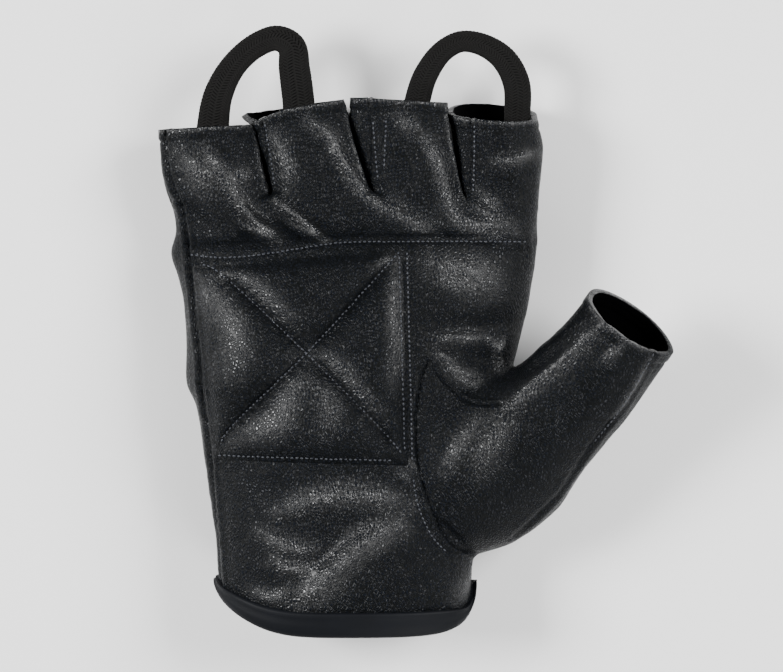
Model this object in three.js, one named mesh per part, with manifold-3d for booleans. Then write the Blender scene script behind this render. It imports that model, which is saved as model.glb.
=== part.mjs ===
// Fingerless riding glove for the right hand, lying on its back with the palm up.
// Millimetres. +X is the thumb side, +Y runs from the cuff to the fingers, +Z is up, out of the palm.
// The leather is worked out as a hollow skin round the hand, and the seams then cut it into its panels.

import * as THREE from 'three';
import { mergeVertices } from 'three/addons/utils/BufferGeometryUtils.js';
import Module from 'manifold-3d';

const wasm = await Module();
wasm.setup();

// Driving dimensions
const LEATHER = 1.4; // thickness of the leather
const SEAM_GAP = 0.3; // clear gap between two panels at a seam
const FLOOR = 0; // the plane that the glove lies on and is flattened by
const FULLNESS = { palm: 0.85, back: 0.8 }; // how square a section is on each side: 1 is a plain ellipse
const RING_POINTS = 36; // corners of one section round the hand
const FINGER_POINTS = 18; // corners of one section round a finger
const THUMB_POINTS = 22; // and round the thumb
const OVERRUN = 12; // how far the hollow runs out past each mouth
const HOLLOW_NARROWED = 2; // how much narrower a stall's hollow starts on each side, inside the hand
const TALL = 80; // higher than anything in the glove
const DEEP = -30; // lower than anything in it
const SHEET_FOOT = -20; // the parting sheets reach down to here
const GLOVE_MIDDLE = { x: 18.4, y: 85.2 }; // middle of the whole glove in plan

// Rows across the hand, from the cuff's edge (y = 0) to the web between the fingers.
// left, right: edges of the hand. side: height of those edges. up, down: depth of palm and back from there.
// rise: how far the edges lie further up the hand than the middle of the palm, which rounds the cuff.
const HAND_ROWS = [
  { y: 1.3, left: -36.6, right: 34.4, side: 16, up: 17, down: 14.7, rise: 13.8 },
  { y: 8.0, left: -37.0, right: 34.6, side: 16, up: 18.6, down: 14.9, rise: 12.4 },
  { y: 22.0, left: -37.5, right: 35.8, side: 15, up: 21, down: 16.5, rise: 4.0 },
  { y: 37.0, left: -38.8, right: 38.0, side: 15, up: 21, down: 18, rise: 0 },
  { y: 52.0, left: -41.2, right: 41.0, side: 15, up: 21, down: 18, rise: 0 },
  { y: 65.0, left: -43.3, right: 43.5, side: 15, up: 21, down: 18, rise: 0 },
  { y: 70.0, left: -45.6, right: 44.8, side: 15, up: 21, down: 18, rise: 0 },
  { y: 80.0, left: -45.7, right: 47.3, side: 15, up: 20, down: 18, rise: 0 },
  { y: 90.0, left: -46.5, right: 50.1, side: 15, up: 19, down: 18, rise: 0 },
  { y: 100.0, left: -48.2, right: 51.8, side: 14, up: 18, down: 17, rise: 0 },
  { y: 107.0, left: -50.1, right: 52.6, side: 14, up: 16, down: 16, rise: 0 },
  { y: 113.5, left: -49.0, right: 52.9, side: 13, up: 12.5, down: 12.5, rise: 0 },
  { y: 119.6, left: -50.3, right: 53.0, side: 13, up: 7.5, down: 7.5, rise: 0 },
];

// Rows along each finger stall, from inside the hand to its mouth: the two edges of its section seen from the
// palm, half its depth, and how far the section tips back towards the hand, in degrees.
const FINGER_ROWS = {
  little: [
    { left: [-45.0, 108], right: [-16.9, 108], depth: 10.5, lean: 0 },
    { left: [-51.9, 126], right: [-22.4, 126], depth: 10.0, lean: 1 },
    { left: [-53.2, 135], right: [-25.1, 135.4], depth: 9.2, lean: 2 },
    { left: [-53.6, 141.4], right: [-27.5, 142.8], depth: 8.8, lean: 2 },
  ],
  ring: [
    { left: [-16.4, 108], right: [11.1, 108], depth: 12.0, lean: 0 },
    { left: [-21.9, 126], right: [5.5, 126], depth: 10.4, lean: 1 },
    { left: [-26.5, 141.4], right: [0.2, 142.6], depth: 9.6, lean: 3 },
    { left: [-30.4, 145.4], right: [-2.0, 150.0], depth: 9.4, lean: 4 },
  ],
  middle: [
    { left: [11.5, 108], right: [34.4, 108], depth: 12.0, lean: 0 },
    { left: [5.9, 126], right: [31.5, 126], depth: 10.6, lean: 0 },
    { left: [1.1, 141], right: [29.2, 140], depth: 9.8, lean: 1 },
    { left: [-0.9, 150.4], right: [27.7, 148.7], depth: 9.4, lean: 1 },
  ],
  index: [
    { left: [34.8, 108], right: [48.6, 108], depth: 10.5, lean: 0 },
    { left: [31.9, 126], right: [53.6, 126], depth: 10.6, lean: 5 },
    { left: [29.9, 138], right: [54.4, 138], depth: 9.8, lean: 11 },
    { left: [28.4, 147.2], right: [52.7, 145.4], depth: 9.4, lean: 17 },
  ],
};
const FINGER_SIDE = [13, 13.7, 14.3, 14.5]; // height of the stalls' edges at those rows

// Rows along the thumb: the two edges of its section seen from the palm, the height of its middle line,
// its depth to the palm side and back side, and how far the section tips back towards the hand, in degrees.
const THUMB_ROWS = [
  { left: [12.0, 47.0], right: [36.0, 22.0], side: 14, up: 18.5, down: 13, lean: 0 },
  { left: [13.0, 64.0], right: [46.0, 25.6], side: 15, up: 20, down: 15, lean: 3 },
  { left: [27.0, 73.6], right: [57.8, 34.4], side: 17.5, up: 18.5, down: 16, lean: 7 },
  { left: [44.4, 73.6], right: [65.2, 45.2], side: 22, up: 15, down: 15, lean: 12 },
  { left: [53.6, 80.8], right: [74.2, 56.4], side: 26.5, up: 12, down: 13, lean: 17 },
  { left: [61.4, 88.6], right: [82.0, 67.2], side: 30.5, up: 11, down: 12, lean: 22 },
  { left: [66.8, 95.2], right: [89.8, 78.8], side: 33.5, up: 10.8, down: 11.4, lean: 25 },
];

// Main folds of the palm side, each from one point to another. Above zero is a ridge, below zero a dent.
const FOLD_ROWS = [
  { from: [-39, 136], to: [-24, 113], width: 4.5, height: 1.5 }, // ridge across the little finger
  { from: [-48, 126], to: [-38, 113], width: 4.5, height: -1.3 }, // hollow beside it
  { from: [-19, 124], to: [-7, 108], width: 3.6, height: -1.4 }, // pull from the first slit
  { from: [-9, 143], to: [9, 116], width: 4.5, height: 1.4 }, // ridge across the ring finger
  { from: [18, 144], to: [31, 119], width: 5.0, height: 1.2 }, // ridge across the middle finger
  { from: [23, 84.5], to: [47, 87], width: 3.8, height: -3.2 }, // crease above the thumb
  { from: [28, 78], to: [41, 73], width: 4.0, height: -2.6 }, // hollow in the crotch of the thumb
  { from: [33, 66], to: [27, 50], width: 3.5, height: 1.2 }, // pull in the ball of the thumb
  { from: [-30, 12], to: [22, 44], width: 6.5, height: 1.6 }, // long fold across the heel
  { from: [-30, 30], to: [0, 40], width: 5.0, height: -1.2 },
];

// Seams seen from the palm, each a run of points from left to right or from top to bottom
const FINGER_SEAM = [[-62, 108.6], [-45, 108.8], [-30, 109.6], [-1, 111.5], [16, 111.3], [62, 111.2]];
const SIDE_SEAM = [
  [-51.8, 160], [-50.8, 132], [-47.4, 120], [-45.2, 110], [-44.6, 104], [-43.4, 92],
  [-41.6, 76], [-40.8, 66], [-38.4, 47], [-37.0, 30], [-36.0, 17], [-35.6, -10],
];
const THUMB_SEAM = [
  [42.3, 64.6], [36.4, 64.4], [31.6, 66.0], [26.9, 69.7], [22.5, 76.6], [19.7, 69.0],
  [18.8, 58.0], [19.2, 48.0], [21.2, 40.5], [23.4, 34.2], [26.9, 27.8], [31.1, 23.8], [36.7, 21.2],
];
const THUMB_CROTCH = [[120, 120], [62, 110], [56, 90], [50.2, 80], [45.8, 72.4]]; // inwards
const THUMB_HEEL = [[38.6, 19.6], [120, -10]];
const THUMB_BACK_SEAM = [[45.8, 72.4], [37.0, 60.0], [31.0, 46.0], [30.0, 32.0], [38.6, 19.6]];
// Height of the seam round the edge of the hand: [y, height]. The thumb's climbs with the thumb instead.
const HAND_PARTING = [[-60, 16], [15, 16], [105, 14], [125, 13.5], [220, 14.5]];
const PARTING_REACH = 60; // how far the thumb's parting runs on past its rows

// Slits between the fingers: their line from the web up, and how far the fourchette reaches before each point
const SLITS = [
  { name: 'little_ring', line: [[-20.9, 121.8], [-26.9, 142.0], [-32.0, 149]], front: [1.8, 2.2, 5.0] },
  { name: 'ring_middle', line: [[7.0, 121.8], [0.9, 141.0], [-1.4, 155]], front: [1.8, 5.0, 6.4] },
  { name: 'middle_index', line: [[32.6, 120.4], [29.6, 139.0], [28.0, 154]], front: [2.0, 5.4, 7.4] },
];
// Fourchettes: heights of their lower and upper seams, the height that takes in the wall before the slit,
// and how far they reach below the web and behind the slit's line
const FOURCHETTE = { low: 7.5, high: 18.0, tall: 40, below: 4.0, behind: 3.4 };
const FOURCHETTE_FOOT = { left: 2.6, right: 2.4, lap: 0.4 }; // its width below the web on each side

// Quilted patch: its corners, how far it lies off the palm, its thickness at the edge and in the stitched
// channels, the puff of its cells, and the share of its width that a cell takes to reach its full puff
const PAD = {
  topLeft: [-43.8, 103.0], topRight: [14.6, 107.8], bottomRight: [16.4, 47.8], bottomLeft: [-38.2, 49.2],
  lift: 0.45, edge: 1.4, puff: 3.0, cells: 12, slope: 0.2,
};

const CUFF_BINDING = { wall: 1.0, gap: 0.35, overlap: 5.2 };

// Pull loops: the middle line of each braid, from inside one finger mouth to inside the next
const BRAID = { width: 7.3, thickness: 3.0, corners: 8, steps: 28 };
const LOOP_ROUTES = {
  pull_loop_outer: [[-39.0, 132, 18.9], [-38.2, 141.7, 19.1], [-36.7, 150.9, 18.7], [-32.3, 159.3, 18.3],
    [-25.9, 165.0, 18.2], [-20.2, 166.9, 18.3], [-16.2, 164.6, 18.6], [-15.3, 158.2, 19.0],
    [-14.2, 149.5, 19.5], [-13.4, 139, 19.6]],
  pull_loop_inner: [[17.6, 139, 18.2], [19.2, 149.5, 18.4], [21.6, 156.8, 18.5], [26.2, 163.2, 18.4],
    [31.5, 166.0, 18.1], [37.8, 165.0, 17.6], [43.6, 161.0, 16.8], [47.0, 154.4, 15.8],
    [47.3, 146, 14.9], [46.4, 134, 14.6]],
};

// Smooth value between rows: t runs from 0 at the first row to 1 at the last
function alongRows(values, t) {
  const curve = new THREE.CatmullRomCurve3(values.map((v) => new THREE.Vector3(...v)), false, 'centripetal');
  return curve.getPoint(t);
}

// Height that the main folds add to the palm side at one place
function foldHeight(x, y) {
  let sum = 0;
  for (const { from, to, width, height } of FOLD_ROWS) {
    const run = [to[0] - from[0], to[1] - from[1]];
    const length = Math.hypot(...run);
    const along = ((x - from[0]) * run[0] + (y - from[1]) * run[1]) / length;
    const across = ((x - from[0]) * run[1] - (y - from[1]) * run[0]) / length;
    const past = Math.max(0, -along, along - length);
    sum += height * Math.exp(-2 * (across / width) ** 2 - 0.5 * (past / width) ** 2);
  }
  return sum;
}

// How far one point of a section lies up the hand. The cuff's edge is cut squarer towards the thumb.
function cuffRise(rise, across, lift) {
  const share = lift > 0 ? (1 - lift) ** (1.75 - 0.85 * across) : 1 + 0.12 * lift;
  return rise * share;
}

// One closed section: an oval between two edges, flattened on the floor
function sectionRing(row, inset, points) {
  const left = new THREE.Vector3(row.left[0], row.left[1], row.side);
  const right = new THREE.Vector3(row.right[0], row.right[1], row.side);
  const middle = left.clone().add(right).multiplyScalar(0.5);
  const half = right.clone().sub(left).multiplyScalar(0.5);
  const halfWidth = half.length();
  half.multiplyScalar((halfWidth - inset) / halfWidth);
  const lean = THREE.MathUtils.degToRad(row.lean ?? 0);
  const outward = new THREE.Vector3(-half.y, half.x, 0).normalize();
  const upward = outward.clone().multiplyScalar(-Math.sin(lean)).setZ(Math.cos(lean));
  const ring = [];
  for (let i = 0; i < points; i++) {
    const angle = (2 * Math.PI * i) / points;
    const lift = Math.sin(angle);
    const above = (row.up - inset) * Math.max(0, lift) ** FULLNESS.palm;
    const below = (row.down - inset) * Math.max(0, -lift) ** FULLNESS.back;
    const depth = above - below;
    const p = middle.clone().addScaledVector(half, -Math.cos(angle)).addScaledVector(upward, depth);
    p.y += cuffRise(row.rise ?? 0, Math.cos(angle), lift);
    if (lift > 0) p.z += foldHeight(p.x, p.y) * lift;
    p.z = Math.max(p.z, FLOOR + Math.max(inset, 0));
    ring.push(p);
  }
  return ring;
}

// Closed solid through a run of sections, its two ends capped
function solidThrough(rings) {
  const points = rings[0].length;
  const position = rings.flat().flatMap((p) => [p.x, p.y, p.z]);
  const index = [];
  for (let k = 0; k + 1 < rings.length; k++) {
    for (let i = 0; i < points; i++) {
      const a = k * points + i;
      const b = k * points + ((i + 1) % points);
      index.push(a, b, b + points, a, b + points, a + points);
    }
  }
  const last = (rings.length - 1) * points;
  for (const [first, ring, turned] of [[0, rings[0], true], [last, rings[rings.length - 1], false]]) {
    const centre = ring.reduce((sum, p) => sum.add(p), new THREE.Vector3()).divideScalar(points);
    const hub = position.length / 3;
    position.push(centre.x, centre.y, centre.z);
    for (let i = 0; i < points; i++) {
      const a = first + i;
      const b = first + ((i + 1) % points);
      index.push(...(turned ? [b, a, hub] : [a, b, hub]));
    }
  }
  return toSolid(indexed(position, index));
}

function indexed(position, index) {
  const geometry = new THREE.BufferGeometry();
  geometry.setAttribute('position', new THREE.Float32BufferAttribute(position, 3));
  geometry.setIndex(index);
  return geometry;
}

// Solid for joining and cutting, from a closed geometry, turned right way out if need be
function toSolid(geometry) {
  const bare = geometry.clone();
  bare.deleteAttribute('normal');
  bare.deleteAttribute('uv');
  bare.clearGroups();
  const merged = mergeVertices(bare, 1e-4);
  const vertProperties = new Float32Array(merged.attributes.position.array);
  const triVerts = new Uint32Array(merged.index.array);
  if (signedVolume(vertProperties, triVerts) < 0) {
    for (let i = 0; i < triVerts.length; i += 3) triVerts.subarray(i, i + 3).reverse();
  }
  return new wasm.Manifold(new wasm.Mesh({ numProp: 3, vertProperties, triVerts }));
}

function signedVolume(vertices, triangles) {
  const corner = (i) => new THREE.Vector3().fromArray(vertices, 3 * triangles[i]);
  let sum = 0;
  for (let i = 0; i < triangles.length; i += 3) {
    sum += corner(i).cross(corner(i + 1)).dot(corner(i + 2));
  }
  return sum;
}

function toGeometry(solid) {
  const mesh = solid.getMesh();
  const position = [];
  for (let i = 0; i < mesh.vertProperties.length; i += mesh.numProp) {
    position.push(mesh.vertProperties[i], mesh.vertProperties[i + 1], mesh.vertProperties[i + 2]);
  }
  const geometry = indexed(position, Array.from(mesh.triVerts));
  geometry.computeVertexNormals();
  return geometry;
}

const unite = (solids) => solids.reduce((sum, solid) => sum.add(solid));

// Measures of the hand at one place between its first row (t = 0) and its last (t = 1)
function handEdges(t) {
  const a = alongRows(HAND_ROWS.map((r) => [r.y, r.left, r.right]), t);
  const b = alongRows(HAND_ROWS.map((r) => [r.side, r.up, r.down]), t);
  const c = alongRows(HAND_ROWS.map((r) => [r.rise, 0, 0]), t);
  return { y: a.x, left: a.y, right: a.z, side: b.x, up: b.y, down: b.z, rise: c.x };
}

function rowShare(y) {
  let [low, high] = [0, 1];
  for (let k = 0; k < 24; k++) {
    const t = (low + high) / 2;
    if (handEdges(t).y < y) low = t;
    else high = t;
  }
  return low;
}

// The hand without fingers. Grown or shrunk by the inset, and run out past the cuff by the overrun.
function handSolid(inset, { overrun = 0, steps = 24, points = RING_POINTS } = {}) {
  const rings = [];
  for (let k = 0; k <= steps; k++) {
    const e = handEdges(k / steps);
    const y = k === steps ? e.y - inset : e.y;
    const across = (at) => ({ ...e, left: [e.left, at], right: [e.right, at] });
    if (k === 0 && overrun > 0) rings.push(sectionRing(across(y - overrun), inset, points));
    rings.push(sectionRing(across(y), inset, points));
  }
  return solidThrough(rings);
}

// One finger stall. The hollow starts narrower, inside the hollow of the hand, and runs out past the mouth.
function fingerSolid(rows, inset, overrun = 0) {
  const sections = rows.map((row, i) => ({ ...row, side: FINGER_SIDE[i], up: row.depth, down: row.depth }));
  if (overrun > 0) {
    const [foot, mouth] = [sections[0], sections[sections.length - 1]];
    foot.left = [foot.left[0] + HOLLOW_NARROWED, foot.left[1]];
    foot.right = [foot.right[0] - HOLLOW_NARROWED, foot.right[1]];
    const past = ([x, y]) => [x, y + overrun];
    sections.push({ ...mouth, left: past(mouth.left), right: past(mouth.right) });
  }
  return solidThrough(sections.map((row) => sectionRing(row, inset, FINGER_POINTS)));
}

// The thumb stall with its ball, from inside the hand to its mouth
function thumbSolid(inset, overrun = 0, steps = 12) {
  const rings = [];
  for (let k = 0; k <= steps; k++) {
    const t = k / steps;
    const a = alongRows(THUMB_ROWS.map((r) => [...r.left, r.side]), t);
    const b = alongRows(THUMB_ROWS.map((r) => [...r.right, r.lean]), t);
    const c = alongRows(THUMB_ROWS.map((r, i) => [r.up, r.down, i]), t);
    const row = { left: [a.x, a.y], right: [b.x, b.y], side: a.z, lean: b.z, up: c.x, down: c.y };
    rings.push(sectionRing(row, inset, THUMB_POINTS));
    if (k === steps && overrun > 0) {
      const along = new THREE.Vector3(-(b.y - a.y), b.x - a.x, 0).normalize().multiplyScalar(overrun);
      const lift = Math.tan(THREE.MathUtils.degToRad(row.lean)) * overrun;
      rings.push(rings[rings.length - 1].map((p) => p.clone().add(along).setZ(p.z + lift)));
    }
  }
  return solidThrough(rings);
}

// Upright block over an outline in plan, between two heights
function block(outline, low, high) {
  const shape = new THREE.Shape(outline.map(([x, y]) => new THREE.Vector2(x, y)));
  const geometry = new THREE.ExtrudeGeometry(shape, { depth: high - low, bevelEnabled: false });
  geometry.translate(0, 0, low);
  return toSolid(geometry);
}

// The outline moved outwards by a distance, or inwards if it is below zero
function grownOutline(outline, distance) {
  const area = outline.reduce((sum, p, i) => {
    const q = outline[(i + 1) % outline.length];
    return sum + p[0] * q[1] - q[0] * p[1];
  }, 0);
  const side = Math.sign(area);
  return outline.map((p, i) => {
    const before = outline[(i + outline.length - 1) % outline.length];
    const after = outline[(i + 1) % outline.length];
    const normal = (a, b) => new THREE.Vector2(b[1] - a[1], a[0] - b[0]).normalize().multiplyScalar(side);
    const n = normal(before, p).add(normal(p, after));
    n.multiplyScalar((2 * distance) / n.lengthSq());
    return [p[0] + n.x, p[1] + n.y];
  });
}

// Everything below a sheet that is level across the glove and runs from row to row: [y, height] for each row.
// A sheet with a turn is one that climbs with the thumb.
function belowSheet(rows, raise, turn = 0) {
  const wide = 150;
  const up = new THREE.Vector3(0, 0, 1);
  const corner = (x, y, z) => new THREE.Vector3(x, y, z).applyAxisAngle(up, turn);
  return solidThrough(rows.map(([y, z]) => [
    corner(-wide, y, SHEET_FOOT),
    corner(wide, y, SHEET_FOOT),
    corner(wide, y, z + raise),
    corner(-wide, y, z + raise),
  ]));
}

// Everything on the back side of the side seams: level round the hand, climbing with the thumb
function backSide(grow) {
  const hand = belowSheet(HAND_PARTING, grow);
  const first = THUMB_ROWS[1];
  const last = THUMB_ROWS[THUMB_ROWS.length - 1];
  const middle = ({ left, right }) => new THREE.Vector2((left[0] + right[0]) / 2, (left[1] + right[1]) / 2);
  const run = middle(last).sub(middle(first));
  const turn = run.angle() - Math.PI / 2;
  const along = (row) => middle(row).dot(run.clone().normalize());
  const rows = THUMB_ROWS.slice(1).map((row) => [along(row), row.side]);
  const before = [along(first) - PARTING_REACH, first.side];
  const after = [along(last) + PARTING_REACH, last.side + PARTING_REACH / 2];
  const thumb = belowSheet([before, ...rows, after], grow, turn);
  const thumbRoom = block(thumbBackOutline(), DEEP, TALL);
  return hand.subtract(thumbRoom).add(thumb.intersect(thumbRoom));
}

// Height of the palm side of the hand at one place, away from its rounded cuff
function palmHeight(x, y) {
  const e = handEdges(rowShare(y));
  const across = (x - (e.left + e.right) / 2) / ((e.right - e.left) / 2);
  const lift = Math.sqrt(Math.max(0, 1 - across * across));
  return e.side + e.up * lift ** FULLNESS.palm + foldHeight(x, y) * lift;
}

// Quilted patch: a sheet over the palm, puffed up between its edges and its crossed stitching
function palmPad() {
  const { topLeft, topRight, bottomRight, bottomLeft, lift, edge, puff, cells, slope } = PAD;
  const corner = (a, b, t) => [a[0] + (b[0] - a[0]) * t, a[1] + (b[1] - a[1]) * t];
  const place = (u, v) => corner(corner(bottomLeft, bottomRight, u), corner(topLeft, topRight, u), v);
  const top = [];
  const bottom = [];
  for (let j = 0; j <= cells; j++) {
    for (let i = 0; i <= cells; i++) {
      const [u, v] = [i / cells, j / cells];
      const [x, y] = place(u, v);
      const base = palmHeight(x, y) + lift;
      const toEdge = Math.min(u, v, 1 - u, 1 - v);
      const toCross = Math.min(Math.abs(u - v), Math.abs(u + v - 1)) / Math.SQRT2;
      const fill = Math.min(1, Math.min(toEdge, toCross) / slope);
      top.push(x, y, base + edge + puff * Math.sin((fill * Math.PI) / 2));
      bottom.push(x, y, base);
    }
  }
  const count = (cells + 1) ** 2;
  const at = (i, j) => j * (cells + 1) + i;
  const index = [];
  for (let j = 0; j < cells; j++) {
    for (let i = 0; i < cells; i++) {
      const [a, b, c, d] = [at(i, j), at(i + 1, j), at(i + 1, j + 1), at(i, j + 1)];
      const rising = (i < cells / 2) === (j < cells / 2);
      const faces = rising ? [a, b, c, a, c, d] : [a, b, d, b, c, d];
      index.push(...faces);
      for (let k = 0; k < 6; k += 3) {
        index.push(faces[k] + count, faces[k + 2] + count, faces[k + 1] + count);
      }
    }
  }
  for (let k = 0; k < cells; k++) {
    const sides = [
      [at(k, 0), at(k + 1, 0)], [at(cells, k), at(cells, k + 1)],
      [at(k + 1, cells), at(k, cells)], [at(0, k + 1), at(0, k)],
    ];
    for (const [a, b] of sides) index.push(a, a + count, b + count, a, b + count, b);
  }
  const sheet = toSolid(indexed([...top, ...bottom], index));
  return sheet.subtract(handSolid(-SEAM_GAP)).subtract(thumbSolid(-SEAM_GAP));
}

// Leather skin of the whole glove
function gloveSkin() {
  const fingers = Object.values(FINGER_ROWS);
  const outer = unite([handSolid(0), ...fingers.map((rows) => fingerSolid(rows, 0)), thumbSolid(0)]);
  const hollow = unite([
    handSolid(LEATHER, { overrun: OVERRUN, steps: 18, points: 28 }),
    ...fingers.map((rows) => fingerSolid(rows, LEATHER, OVERRUN)),
    thumbSolid(LEATHER, OVERRUN, 9),
  ]);
  return outer.subtract(hollow);
}

// Plan outlines of the seams' pieces
function thumbOutline() {
  return [...THUMB_SEAM, ...THUMB_HEEL, ...THUMB_CROTCH];
}

function thumbBackOutline() {
  return [...THUMB_BACK_SEAM, THUMB_HEEL[1], ...THUMB_CROTCH.slice(0, -1)];
}

// Room of one fourchette: the wall behind the slit up to its seam, and the wall before it over the front
function slitBlocks({ line, front }, grow) {
  const [web] = line;
  const { left, right, lap } = FOURCHETTE_FOOT;
  const moved = (by) => line.map(([x, y], i) => [x + by(i), y]);
  const backEdge = moved(() => -FOURCHETTE.behind).reverse();
  const frontEdge = moved((i) => front[i]).reverse();
  const footAt = (by) => [web[0] + by, web[1] - FOURCHETTE.below];
  const behind = [...moved(() => lap / 2), ...backEdge, footAt(-left), footAt(lap)];
  const before = [...moved(() => -lap / 2), ...frontEdge, footAt(right), footAt(-lap)];
  const low = FOURCHETTE.low - grow;
  return unite([
    block(grownOutline(behind, grow), low, FOURCHETTE.high + grow),
    block(grownOutline(before, grow), low, FOURCHETTE.tall + grow),
  ]);
}

// The braid of one pull loop
function pullLoop(route) {
  const shape = new THREE.Shape();
  shape.absellipse(0, 0, BRAID.thickness / 2, BRAID.width / 2, 0, 2 * Math.PI);
  const outline = new THREE.Shape(shape.getSpacedPoints(BRAID.corners).slice(0, BRAID.corners));
  const path = new THREE.CatmullRomCurve3(route.map((p) => new THREE.Vector3(...p)));
  return new THREE.ExtrudeGeometry(outline, { steps: BRAID.steps, extrudePath: path, bevelEnabled: false });
}

// The skin cut into its panels
const half = SEAM_GAP / 2;
const skin = gloveSkin();
const slitZones = unite(SLITS.map((s) => slitBlocks(s, SEAM_GAP)));
const panels = skin.subtract(slitZones);
const palmOutline = [...SIDE_SEAM, [130, -10], [130, 160]];
const fingerOutline = [...FINGER_SEAM, [62, 200], [-60, 200]];
const zone = (outline, grow) => block(grownOutline(outline, grow), DEEP, TALL);
const frontPanels = panels.intersect(zone(palmOutline, -half)).subtract(backSide(half));
const fingerPanel = frontPanels.intersect(zone(fingerOutline, -half));
const palmPanel = frontPanels.subtract(zone(fingerOutline, half)).subtract(zone(thumbOutline(), half));
const thumbPalm = frontPanels.intersect(zone(thumbOutline(), -half));
const thumbBack = panels.intersect(zone(thumbBackOutline(), -half)).intersect(backSide(-half));
const frontRoom = zone(palmOutline, half).subtract(backSide(-half));
const backPanel = panels.subtract(frontRoom).subtract(zone(thumbBackOutline(), half));

// Folded tape round the cuff's edge: a U-shaped section carried round the hand
function cuffBinding() {
  const { wall, gap, overlap } = CUFF_BINDING;
  const [edge] = HAND_ROWS;
  const ringAt = (inset, up) => {
    const e = handEdges(rowShare(edge.y + Math.max(0, up)));
    const y = edge.y + up;
    return sectionRing({ ...e, left: [e.left, y], right: [e.right, y] }, inset, RING_POINTS);
  };
  const [outside, inside] = [-gap, LEATHER + gap];
  const rings = [
    ringAt(outside - wall, overlap), ringAt(outside - wall, -gap - wall), ringAt(inside + wall, -gap - wall),
    ringAt(inside + wall, overlap), ringAt(inside, overlap), ringAt(inside, -gap), ringAt(outside, -gap),
    ringAt(outside, overlap),
  ];
  const index = [];
  for (let k = 0; k < rings.length; k++) {
    for (let i = 0; i < RING_POINTS; i++) {
      const next = (i + 1) % RING_POINTS;
      const [row, after] = [k * RING_POINTS, ((k + 1) % rings.length) * RING_POINTS];
      index.push(row + i, row + next, after + next, row + i, after + next, after + i);
    }
  }
  const position = rings.flat().flatMap((p) => [p.x, p.y, p.z]);
  return toSolid(indexed(position, index));
}

const leather = (colour) => new THREE.MeshStandardMaterial({ color: colour, roughness: 0.42, metalness: 0 });
const materials = {
  leather: leather(0x1d2024),
  binding: new THREE.MeshStandardMaterial({ color: 0x14171c, roughness: 0.75, metalness: 0 }),
  braid: new THREE.MeshStandardMaterial({ color: 0x1b1a1c, roughness: 0.9, metalness: 0 }),
};

const glove = new THREE.Group();

function addPiece(name, geometry, material) {
  const mesh = new THREE.Mesh(geometry, material);
  mesh.name = name;
  glove.add(mesh);
}

addPiece('back_panel', toGeometry(backPanel), materials.leather);
addPiece('palm_panel', toGeometry(palmPanel), materials.leather);
addPiece('palm_pad', toGeometry(palmPad()), materials.leather);
addPiece('finger_panel', toGeometry(fingerPanel), materials.leather);
addPiece('thumb_palm', toGeometry(thumbPalm), materials.leather);
addPiece('thumb_back', toGeometry(thumbBack), materials.leather);
for (const slit of SLITS) {
  addPiece(`fourchette_${slit.name}`, toGeometry(skin.intersect(slitBlocks(slit, 0))), materials.leather);
}
addPiece('cuff_binding', toGeometry(cuffBinding()), materials.binding);
for (const [name, route] of Object.entries(LOOP_ROUTES)) addPiece(name, pullLoop(route), materials.braid);

glove.position.set(-GLOVE_MIDDLE.x, -GLOVE_MIDDLE.y, 0);

export default glove;
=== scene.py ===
"""Fingerless riding glove for the right hand, lying on its back with the palm up."""
import math
import random
from contextlib import contextmanager

import bmesh
import bpy
import numpy as np
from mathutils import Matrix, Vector, noise
from mathutils.bvhtree import BVHTree

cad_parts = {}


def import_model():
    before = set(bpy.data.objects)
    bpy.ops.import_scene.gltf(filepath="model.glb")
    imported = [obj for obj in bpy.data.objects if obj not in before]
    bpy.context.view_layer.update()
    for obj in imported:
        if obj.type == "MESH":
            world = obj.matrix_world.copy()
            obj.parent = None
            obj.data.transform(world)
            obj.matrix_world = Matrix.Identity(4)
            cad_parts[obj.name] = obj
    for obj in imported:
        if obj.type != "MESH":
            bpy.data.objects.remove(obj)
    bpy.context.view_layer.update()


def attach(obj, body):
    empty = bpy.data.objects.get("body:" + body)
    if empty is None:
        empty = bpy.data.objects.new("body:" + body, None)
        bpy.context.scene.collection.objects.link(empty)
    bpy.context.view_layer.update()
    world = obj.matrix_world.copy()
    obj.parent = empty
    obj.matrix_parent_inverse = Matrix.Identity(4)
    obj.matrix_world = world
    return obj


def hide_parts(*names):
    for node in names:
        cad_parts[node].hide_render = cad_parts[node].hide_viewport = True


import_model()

# The glove is measured in millimetres from the middle of the cuff's palm edge: x to the thumb side, y to the
# fingers, z out of the palm. The frame is in metres from the middle of the glove.
MM = 0.001
MIDDLE = np.array([18.4, 85.2, 0.0])
WALL = 1.2  # thickness of the leather
SKIN_STEP = 0.7  # size of the skin's faces
PAST_MOUTH = 5.0  # how far the cuff and the thumb are made past their mouths before they are trimmed
PAST_FINGER = 2.5  # the same for the fingers
CUFF_ZONE = 22  # the cuff's edge lies below this height
STALLS_FROM = 120  # the stalls lie above this height
STALL_ENDS = 132  # and their mouths above this one
FLOOR_GAP = 0.02

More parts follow.
